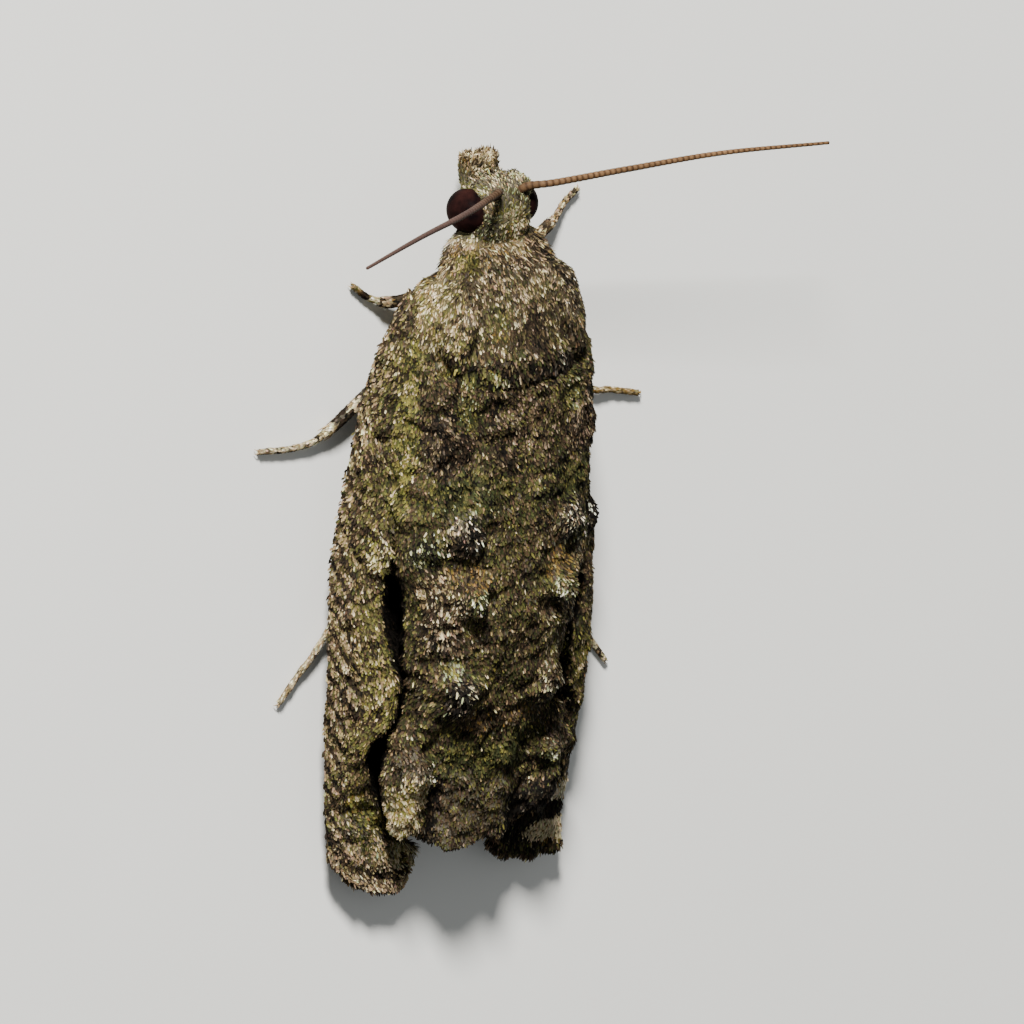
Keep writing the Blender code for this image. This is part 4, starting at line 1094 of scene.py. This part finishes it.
# Layers of colour over the body, each over those before it: strength, the name of a zone or the
# middle and radius of a spot, and colours
BODY_LAYERS = (
    (0.8, "shoulders", mix(tan=30, cream=20, olive=15, lime=24, brown=4, umber=3, ochre=4)),
    (0.8, "right shoulder", mix(umber=34, grey=26, brown=16, black=10, tan=8, cream=4, white=2)),
    (0.6, "back", mix(umber=26, brown=24, moss=16, black=8, olive=18, tan=5, cream=3)),
    (0.85, (0.85, -4.05, 1.98, 0.17), mix(rose=46, cream=22, tan=22, brown=10)),
    (0.85, (0.45, -3.99, 2.05, 0.21), mix(moss=32, mint=14, olive=40, lime=14)),
    (0.85, (0.50, -3.72, 2.12, 0.20), mix(ochre=30, olive=28, lime=24, brown=18)),
    (0.9, (-0.22, -3.70, 2.12, 0.34), mix(umber=44, black=34, brown=18, rose=2, white=1)),
    (0.85, "rear", mix(umber=36, black=26, moss=14, brown=14, grey=5, rose=4)),
    (0.85, "green corner", mix(moss=36, olive=32, black=10, mint=7, lime=10)),
    (0.9, (-0.78, -3.02, 2.10, 0.24), mix(black=48, grey=22, umber=14, rose=7, white=9)),
    (0.85, "collar", mix(brown=25, tan=31, umber=10, cream=15, ochre=9, grey=10)),
    (0.7, (-0.49, -4.81, 1.60, 0.36), mix(brown=30, rose=24, umber=24, grey=12, cream=10)),
    (0.85, (0.60, -5.10, 1.42, 0.22), mix(tan=38, cream=24, rose=14, brown=12, ochre=12)),
    (0.9, (0.78, -4.92, 1.48, 0.24), mix(lime=44, olive=34, moss=8, tan=14)),
    (0.8, (0.89, -4.72, 1.70, 0.17), mix(umber=40, black=16, brown=28, grey=16)),
    (0.9, (0.43, -4.97, 1.60, 0.09), mix(umber=50, brown=30, black=10, ochre=10)),
    (0.9, (0.86, -5.10, 1.20, 0.13), mix(brown=30, ochre=26, rose=26, umber=18)),
    (0.9, (0.80, -5.18, 0.98, 0.14), mix(cream=50, white=30, tan=20)),
    (0.85, "seam", mix(black=50, umber=40, brown=10)),
    (1.0, "head", mix(olive=19, grey=32, moss=6, lime=11, umber=6, mint=11, cream=11, tan=4)),
    (0.85, (-0.02, -5.87, 1.58, 0.28),
     mix(grey=36, olive=22, moss=16, umber=10, mint=9, lime=5, cream=2)),
    (0.95, (-0.06, -5.52, 1.66, 0.21), mix(cream=30, lime=26, olive=18, tan=12, mint=10, umber=4)),
    (0.95, (-0.18, -5.24, 1.58, 0.24), mix(cream=36, tan=24, lime=16, olive=14, ochre=6, umber=4)),
    (0.85, (0.41, -5.72, 1.55, 0.14), mix(brown=30, tan=26, grey=20, umber=14, cream=10)),
    (0.75, (0.17, -6.10, 1.38, 0.15), mix(cream=32, grey=26, tan=18, umber=18, white=6)),
    (0.75, (-0.22, -6.10, 1.38, 0.15), mix(cream=32, grey=26, tan=18, umber=18, white=6)),
    (0.7, "nook", mix(cream=14, mint=8, grey=40, tan=16, umber=22)),
    (1.0, "palps", mix(olive=22, grey=22, brown=14, tan=16, ochre=6, cream=12, umber=8)),
    (1.0, "palp ends", mix(tan=27, rose=22, cream=20, ochre=10, brown=12, umber=9)),
    (1.0, "underside", mix(cream=40, tan=26, grey=22, white=6)),
    (1.0, "abdomen", mix(grey=36, tan=28, brown=20, cream=12)),
)


def body_shares(points):
    """Shares of the palette over head, thorax, palps and abdomen."""
    x, y, z = points.T
    out = np.abs(x)
    top = z > 1.7
    head = smoothstep(-5.1, -5.2, y)
    zones = {
        "shoulders": smoothstep(0.9, 1.3, out) * (y > -4.8),
        "right shoulder": smoothstep(0.7, 1.0, out) * (x < 0) * (y > -4.6),
        "back": smoothstep(-4.1, -3.7, y) * top,
        "rear": smoothstep(-3.45, -3.2, y) * top,
        "green corner": smoothstep(-3.35, -3.1, y) * smoothstep(0.3, 0.7, x) * top,
        "collar": smoothstep(-5.25, -5.1, y) * smoothstep(-4.7, -4.9, y),
        "seam": (smoothstep(0.06, 0.025, np.abs(x + 0.62 + 0.526 * (y + 4.98))) * (z > 1.25)
                 * smoothstep(-5.05, -4.95, y) * smoothstep(-4.2, -4.4, y)),
        "head": head,
        "nook": head * smoothstep(-5.92, -6.02, y) * (z > 0.95) * (out < 0.3),
        "palps": smoothstep(-6.02, -6.12, y) * (z < PALP_TOP),
        "palp ends": smoothstep(-6.18, -6.28, y),
        "underside": smoothstep(0.85, 0.65, z) * (y > -5.0),
        "abdomen": smoothstep(-2.95, -2.85, y),
    }
    wander = noise(points, 0.25, 61) - 0.5
    shares = BODY_GROUND
    for strength, where, colours in BODY_LAYERS:
        if where in zones:
            cover = zones[where]
        else:
            away = np.linalg.norm(points - where[:3], axis=1) / where[3]
            cover = smoothstep(1.4, 0.6, away + 0.8 * wander)
        shares = laid(shares, strength * cover, colours)
    return shares


def flow(points):
    """Lie of the body's scales, their length, width and lift, and how far they stray from it."""
    x, y, z = points.T
    head = y < NECK_Y
    palp = (y < -6.05) & (z < PALP_TOP)
    backward = -0.75 + 1.2 * smoothstep(-5.75, -5.35, y)
    zones = (
        # where, lie, and length, width, lift and stray, each left as it is where None stands
        (y < np.inf, (0.0, 1.0, 0.0), 0.078, 0.029, 0.24, 0.30),
        (head, None, 0.062, 0.025, None, None),
        (head & (z > 1.25), (0.6 * x, backward, 0.2), None, None, 0.36, None),
        (head & (y < -5.9) & (z > 0.9), (0.2 * np.sign(x), -0.3, -1.0), None, None, None, None),
        (head & (z <= 0.9), (0.0, -0.8, -0.2), None, None, None, None),
        (palp, (0.0, -1.0, 0.10), 0.085, None, 0.30, None),
        (head & (y < -5.92) & (y > -6.24) & (z > 0.76) & (z < 1.08), None, 0.070, None, 0.60, 0.50),
        (palp & (y < -6.25), None, 0.095, None, 0.45, 0.55),
        ((y >= NECK_Y) & (y < COLLAR_END), (0.35 * x, 1.0, 0.25), 0.100, 0.026, 0.42, 0.45),
        ((y > -3.5) & (y < -2.9) & (z > 1.9), None, 0.11, 0.042, 0.34, None),
        (y > -2.9, None, 0.16, 0.07, 0.15, None),
    )
    way = np.zeros((len(points), 3))
    measures = np.zeros((4, len(points)))
    for where, lie, *values in zones:
        if lie is not None:
            way[where] = np.stack(np.broadcast_arrays(x, *lie)[1:], axis=1)[where]
        for measure, value in zip(measures, values):
            if value is not None:
                measure[where] = value
    way[:, 0] += 0.10 * x
    return way, *measures


def spread_over(points, faces, spacing, keep):
    """Evenly spaced random places on a mesh, with the normals there."""
    corners = np.array([(f[0], f[i], f[i + 1]) for f in faces for i in range(1, len(f) - 1)])
    a, b, c = points[corners[:, 0]], points[corners[:, 1]], points[corners[:, 2]]
    cross = np.cross(b - a, c - a)
    area = np.linalg.norm(cross, axis=1) / 2.0
    wanted = keep((a + b + c) / 3.0)
    area = area * wanted
    count = int(area.sum() / spacing ** 2 * 3.0)
    tri = np.searchsorted(np.cumsum(area) / area.sum(), RANDOM.random(count)).clip(0, len(area) - 1)
    u, v = RANDOM.random(count), RANDOM.random(count)
    flip = u + v > 1.0
    u, v = np.where(flip, 1.0 - u, u), np.where(flip, 1.0 - v, v)
    place = a[tri] + (b - a)[tri] * u[:, None] + (c - a)[tri] * v[:, None]
    normals = unit(cross)[tri]
    taken = {}
    chosen = []
    cell = np.floor(place / spacing).astype(int)
    near = [(i, j, k) for i in (-1, 0, 1) for j in (-1, 0, 1) for k in (-1, 0, 1)]
    limit = (0.82 * spacing) ** 2
    for index, key in enumerate(map(tuple, cell.tolist())):
        px, py, pz = place[index]
        free = True
        for i, j, k in near:
            for qx, qy, qz in taken.get((key[0] + i, key[1] + j, key[2] + k), ()):
                if (px - qx) ** 2 + (py - qy) ** 2 + (pz - qz) ** 2 < limit:
                    free = False
                    break
            if not free:
                break
        if free:
            taken.setdefault(key, []).append((px, py, pz))
            chosen.append(index)
    return place[chosen], normals[chosen]


def body_uv(points, first, last, middle_z):
    """Unwrap of the trunk: round it, and along it."""
    angle = np.arctan2(points[:, 0], points[:, 2] - middle_z) / (2.0 * math.pi) + 0.5
    along = (points[:, 1] - first) / (last - first)
    return unwrapped(angle.clip(0.0, 1.0), along.clip(0.0, 1.0))


def in_trunk_part(part, points):
    """Whether places belong to the coat of the head, the thorax or the abdomen."""
    out, y = np.abs(points[:, 0]), points[:, 1]
    if part == "head":
        return y < HEAD_END
    if part == "thorax":
        return (y >= NECK_Y) & ((y < WAIST_Y) | (out > WAIST_HALF) & (y < CORNER_END))
    return (y >= WAIST_Y) & (out < WAIST_HALF)


def coat_body(part, skin):
    """Coat over a part of the trunk."""
    spacing, *unwrap = TRUNK_COATS[part]
    roots, normals = spread_over(*skin, spacing, lambda places: in_trunk_part(part, places))
    count = len(roots)
    way, length, width, lift, stray = flow(roots)
    way = unit(way) + stray[:, None] * RANDOM.standard_normal((count, 3))
    length = varied(length, 0.25, 0.5, 1.7, count)
    width = varied(width, 0.15, 0.6, 1.5, count)
    lift = varied(lift, 0.35, 0.3, 2.0, count)
    tint, gloss = picked(body_shares(roots), roots, spread=0.25, patch=0.09, alone=0.34)
    coat = Coat()
    coat.add(roots - normals * 0.005, way, normals, length, width, lift, tint, gloss,
             body_uv(roots, *unwrap))
    return coat.make("coat_" + part, BODY_SCALES, part + "_scales")


def leg_path(name):
    """Centre line of a leg, its share along, and its radii with the foot's joints."""
    path, share, length = even_path(LEGS[name], 90)
    foot = smoothstep(0.66, FOOT_SHARE, share)
    knob = 0.5 + 0.5 * np.cos(2.0 * math.pi * (share - FOOT_SHARE) / FOOT_JOINT)
    radii = through(LEG_RADII, share) * (1.0 + foot * (0.16 * knob - 0.08))
    path[:, 2] = np.maximum(path[:, 2], radii + LEG_COAT)
    return path, share, radii, length


# Bands of the left fore leg: share of its length where each starts, and its colours
FORE_LEG_BANDS = (
    (0.00, mix(umber=56, black=20, brown=16, ochre=8)), (0.575, mix(rose=40, cream=34, tan=26)),
    (0.66, mix(umber=50, brown=30, black=20)), (0.68, mix(cream=56, tan=24, lime=12, white=8)),
    (0.80, mix(black=46, umber=44, brown=10)), (0.89, mix(ochre=50, brown=30, tan=20)),
    (0.94, mix(cream=46, lime=24, tan=30)),
)
PALE_LEG = mix(cream=66, tan=30, white=4)
# Dark and pale bands of the other legs
LEG_COLOURS = {
    "fore_leg_right": (mix(umber=50, brown=34, tan=12, ochre=4),
                       mix(tan=44, cream=26, rose=22, ochre=3, brown=5)),
    "mid_leg_left": (mix(umber=52, grey=30, black=10, cream=8), PALE_LEG),
    "mid_leg_right": (mix(ochre=40, tan=36, brown=20), mix(tan=50, ochre=30, cream=16)),
    "hind_leg_left": (mix(tan=50, cream=26, brown=18), PALE_LEG),
    "hind_leg_right": (mix(umber=60, brown=22, black=14, tan=4), PALE_LEG),
}


def leg_shares(name, share):
    """Colour bands along a leg."""
    if name == "fore_leg_left":
        starts, bands = zip(*FORE_LEG_BANDS)
        return np.array(bands)[np.searchsorted(starts, share, side="right") - 1]
    dark, pale = LEG_COLOURS[name]
    plain = name == "mid_leg_left"
    ring = (smoothstep(0.35, 0.15, np.abs(((share - FOOT_SHARE) / FOOT_JOINT) % 1.0 - 0.35))
            * (share > 0.68))
    foot = smoothstep(0.60, 0.64, share) * (1.0 - (0.45 if plain else 0.85) * ring)
    knee = smoothstep(0.03, 0.01, np.abs(share - 0.375)) * (not plain)
    middle = 0.8 * smoothstep(0.03, 0.015, np.abs(share - 0.51))
    return laid(dark, np.maximum(foot, np.maximum(knee, middle)), pale)


def build_legs(coat):
    """Skins of the six legs, with their scales added to a coat."""
    parts, tints = [], []
    for index, name in enumerate(LEGS):
        path, share, radii, length = leg_path(name)
        parts.append(tube_mesh(round_rings(path, radii - LEG_COAT, LEG_SIDES)))
        colour = (leg_shares(name, share) @ COLOURS) * LEG_SHADE
        tints.append(np.concatenate((np.repeat(colour, LEG_SIDES, axis=0), colour[:1],
                                     colour[-1:])))
        rows = int(length / LEG_STEP)
        angle = (np.tile(np.arange(LEG_TURNS) / LEG_TURNS, rows)
                 + 0.5 * np.repeat(np.arange(rows) % 2, LEG_TURNS) / LEG_TURNS)
        angle = (angle + 0.02 * RANDOM.standard_normal(len(angle))) * 2.0 * math.pi
        at = np.repeat(np.linspace(0.02, 0.985, rows), LEG_TURNS)
        at = np.clip(at + 0.004 * RANDOM.standard_normal(len(angle)), 0.0, 0.99)
        way = unit(between(at, share, np.gradient(path, axis=0)))
        side = sideways(way)
        normals = side * np.cos(angle)[:, None] + np.cross(side, way) * np.sin(angle)[:, None]
        radius = np.interp(at, share, radii) - LEG_ROOTS
        roots = between(at, share, path) + normals * radius[:, None]
        tint, gloss = picked(leg_shares(name, at), roots, spread=0.2, patch=0.05)
        size = np.interp(at, (0.0, 0.62, 0.7, 1.0), (1.0, 1.0, 0.72, 0.62))
        lift = 0.16 + 0.06 * np.abs(RANDOM.standard_normal(len(angle)))
        turn = (index + 0.1 + 0.8 * (angle / (2 * math.pi) % 1.0)) / len(LEGS)
        coat.add(roots, way, normals, LEG_SCALE[0] * size, LEG_SCALE[1] * size, lift, tint, gloss,
                 np.stack((at * 0.98 + 0.01, turn), axis=1), thickness=0.006)
    return parts, tints


def thick_sheet(outer, inner):
    """Vertices and faces of the sheet between two grids of the same size."""
    return (np.concatenate((outer.reshape(-1, 3), inner.reshape(-1, 3))),
            sheet_faces(*outer.shape[:2]))


def build_skin(sheets, coat_legs):
    """The one skin, with every forewing, hindwing, leg and trunk part in it."""
    trunk = trunk_skin()
    parts = [trunk]
    tints = [(body_shares(trunk[0]) @ COLOURS) * SKIN_SHADE]
    for side, sheet in sheets.items():
        outer = sheet.points - sheet.normals * COAT_DEPTH
        parts.append(thick_sheet(outer, outer + sheet.inward * WING_THICKNESS))
        flat = sheet.points.reshape(-1, 3)
        rank = np.repeat(sheet.rank, sheet.columns)
        tints.append((wing_shares(rank, flat, side) @ COLOURS) * SKIN_SHADE)
        tints.append(np.tile(UNDERWING_TINT, (len(flat), 1)))
        parts.append(hindwing_skin(sheet))
        tints.append(np.tile(HINDWING_TINT, (len(parts[-1][0]), 1)))
    leg_parts, leg_tints = build_legs(coat_legs)
    vertices, faces = merged(parts + leg_parts)
    nodes = [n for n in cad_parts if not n.startswith(("eye_", "antenna_"))]
    skin = add_piece("moth_skin", vertices, faces, SKIN, "mossy_wing", nodes,
                     tint=np.concatenate(tints + leg_tints), gloss=np.full(len(vertices), 0.1))
    face_outward(skin.data)
    return trunk


def hindwing_skin(sheet):
    """Hindwing folded away under the forewing."""
    rows = (HINDWING_LINES - 1) * LINE_SPLITS + 1
    outer = sheet.points[:rows] * (HINDWING_SQUASH, 1.0, 1.0) - (0.0, 0.0, HINDWING_DROP)
    wanted = np.linspace(*HINDWING_SPAN, sheet.columns)
    new = np.stack([between(wanted, row[:, 1], row) for row in outer])
    new[..., 1] = wanted
    new = new[:, ::HINDWING_STEP]
    return thick_sheet(new, new - (0.0, 0.0, HINDWING_THICKNESS))


# ---------------------------------------------------------------- eyes, feelers, claws
def build_eyes():
    """Fine round eyes in the place and size of the solid ones."""
    material = eye_material()
    for side in SIDES:
        low, high = (np.array(corner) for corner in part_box("eye_" + side))
        shaped = bmesh.new()
        bmesh.ops.create_icosphere(shaped, subdivisions=5, radius=1.0)
        vertices = np.array([v.co[:] for v in shaped.verts])
        faces = [tuple(v.index for v in f.verts) for f in shaped.faces]
        shaped.free()
        placed = (vertices * ((high - low) / 2.0) * 0.985 + (low + high) / 2.0 - ORIGIN) / MM
        add_piece("compound_eye_" + side, placed, faces, material, "eye", ["eye_" + side])


def build_feelers():
    """Thread feelers of many segments, each wider at its far end."""
    for side, route in FEELERS.items():
        path, share, _ = even_path(route, SEGMENTS * 6 + 1)
        beat = (share * SEGMENTS) % 1.0
        thread = THREAD_RADII[0] + (THREAD_RADII[1] - THREAD_RADII[0]) * share ** 1.2
        radii = thread * (0.94 + 0.09 * np.sin(math.pi * beat ** 1.6))
        radii = radii + smoothstep(0.045, 0.0, np.abs(share - 0.030)) * 0.012
        vertices, faces = tube_mesh(round_rings(path, radii, THREAD_SIDES))
        ring = np.maximum(smoothstep(0.55, 0.8, beat) * 0.85, smoothstep(0.12, 0.0, beat) * 0.5)
        # The feeler's own colour, with its painted shade on the left
        colour = laid(THREAD_TAN * THREAD_PAINTED_SHADE[side], ring, THREAD_DARK)
        colour = colour * (0.75 + 0.5 * noise(path, 0.8, 71))[:, None]
        mauve = 0.8 * smoothstep(0.10, 0.35, share) * (side == "left")
        colour = laid(colour, mauve, THREAD_MAUVE)
        colour = colour * (0.75 + 0.25 * smoothstep(0.055, 0.075, share))[:, None]
        tint = np.concatenate((np.repeat(colour, THREAD_SIDES, axis=0), colour[:1], colour[-1:]))
        round_it = np.tile(np.arange(THREAD_SIDES) / THREAD_SIDES, len(path))
        uv = np.concatenate((np.stack((round_it, np.repeat(share, THREAD_SIDES)), axis=1),
                             ((0.5, 0.0), (0.5, 1.0))))
        add_piece("feeler_" + side, vertices, faces, FEELER, "feeler",
                  ["antenna_" + side, "antenna_" + side + "_scape"], tint=tint,
                  gloss=np.full(len(vertices), 0.4), uv=uv)


def thorn(points, thick, thin, lowest=0.0):
    """Closed tapering hook along a smooth curve through a few points."""
    path = smooth_path(points, 4)
    path[:, 2] = np.maximum(path[:, 2], lowest)
    return tube_mesh(round_rings(path, np.linspace(thick, thin, len(path)), 8))


def build_claws():
    """Pair of small claws on each foot, and spurs on the shins."""
    parts = []
    for name in LEGS:
        path, _, radii, _ = leg_path(name)
        tip = path[-1]
        way = unit(tip - path[-4])
        side = sideways(way)
        for turn in (-1.0, 1.0):
            parts.append(thorn((tip - way * 0.02,
                                tip + way * 0.05 + side * 0.028 * turn + (0, 0, 0.005),
                                tip + way * 0.085 + side * 0.04 * turn - (0, 0, 0.045)),
                               0.016, 0.003))
        for place in SPUR_PLACES[name[:name.index("_")]]:
            i = int(place * (len(path) - 1))
            lie = unit(path[i + 1] - path[i])
            out = sideways(lie)
            for turn in (-1.0, 1.0):
                root = path[i] + out * turn * radii[i] * 0.7
                parts.append(thorn((root, root + lie * 0.10 + out * turn * 0.05,
                                    root + lie * 0.22 + out * turn * 0.06 - (0, 0, 0.03)),
                                   0.024, 0.004, lowest=0.02))
    add_piece("claws_and_spurs", *merged(parts), horn_material(), "leg_pale")


# ---------------------------------------------------------------- stage
VIEW_BACK = np.array((0.57794, -0.30997, 0.75492))     # from the moth to the camera
VIEW_RIGHT = np.array((-0.80056, -0.03581, 0.59818))
VIEW_UP = np.array((-0.15839, -0.95007, -0.26884))
VIEW_MIDDLE = (-0.918, -0.010, 0.699)
VIEW_DISTANCE = 700.0
VIEW_WIDTH = 17.0          # seen at the moth, across the picture
FLOOR_HALF = 400.0
SENSOR = 36.0
KEY_WAY = (0.37, -0.82, 0.46)      # from the moth to the lamp
KEY_DISTANCE = 220.0
KEY_SIZE = 38.0
KEY_POWER = 1.72
KEY_COLOUR = (1.0, 0.97, 0.92)
SKY_COLOUR = (0.88, 0.90, 0.90, 1.0)
SKY_STRENGTH = 0.27


def build_stage():
    """Floor, soft light and the camera."""
    corners = np.array([(x * FLOOR_HALF, y * FLOOR_HALF, 0.0)
                        for x, y in ((-1, -1), (1, -1), (1, 1), (-1, 1))]) * MM + ORIGIN
    corners[:, 2] = float(CAD_LOW[2])
    mesh = bpy.data.meshes.new("floor")
    mesh.from_pydata(corners.tolist(), [], [(0, 1, 2, 3)])
    mesh.materials.append(floor_material())
    floor = in_scene("floor", mesh)

    middle = Vector(np.array(VIEW_MIDDLE) * MM + ORIGIN)
    back = Vector(VIEW_BACK).normalized()
    data = bpy.data.cameras.new("camera")
    data.sensor_width = SENSOR
    data.lens = SENSOR * VIEW_DISTANCE / VIEW_WIDTH
    data.clip_start = 0.01
    data.clip_end = 10.0
    camera = in_scene("camera", data)
    turn = Matrix((VIEW_RIGHT, VIEW_UP, VIEW_BACK)).transposed()
    camera.matrix_world = Matrix.Translation(middle + back * VIEW_DISTANCE * MM) @ turn.to_4x4()
    bpy.context.scene.camera = camera

    lamp = bpy.data.lights.new("key", "AREA")
    lamp.shape = "DISK"
    lamp.size = KEY_SIZE * MM
    lamp.energy = KEY_POWER
    lamp.color = KEY_COLOUR
    key = in_scene("key", lamp)
    way = Vector(KEY_WAY).normalized()
    key.location = middle + way * KEY_DISTANCE * MM
    key.rotation_mode = "QUATERNION"
    key.rotation_quaternion = way.to_track_quat("Z", "Y")

    world = bpy.data.worlds.new("studio")
    world.use_nodes = True
    sky = world.node_tree.nodes["Background"]
    sky.inputs["Color"].default_value = SKY_COLOUR
    sky.inputs["Strength"].default_value = SKY_STRENGTH
    bpy.context.scene.world = world


# ---------------------------------------------------------------- building
wing_sheets = {side: forewing_sheet(side) for side in SIDES}
TUFT_PLACES = {side: find_tufts(sheet) for side, sheet in wing_sheets.items()}
leg_coat = Coat()
trunk = build_skin(wing_sheets, leg_coat)
leg_coat.make("coat_legs", BODY_SCALES, "leg_dark")
for wing_side, wing_sheet in wing_sheets.items():
    coat_forewing(wing_side, wing_sheet)
    coat_underwing(wing_side, wing_sheet)
    fringe(wing_side, wing_sheet)
for trunk_part in TRUNK_COATS:
    coat_body(trunk_part, trunk)
build_eyes()
build_feelers()
build_claws()
build_stage()
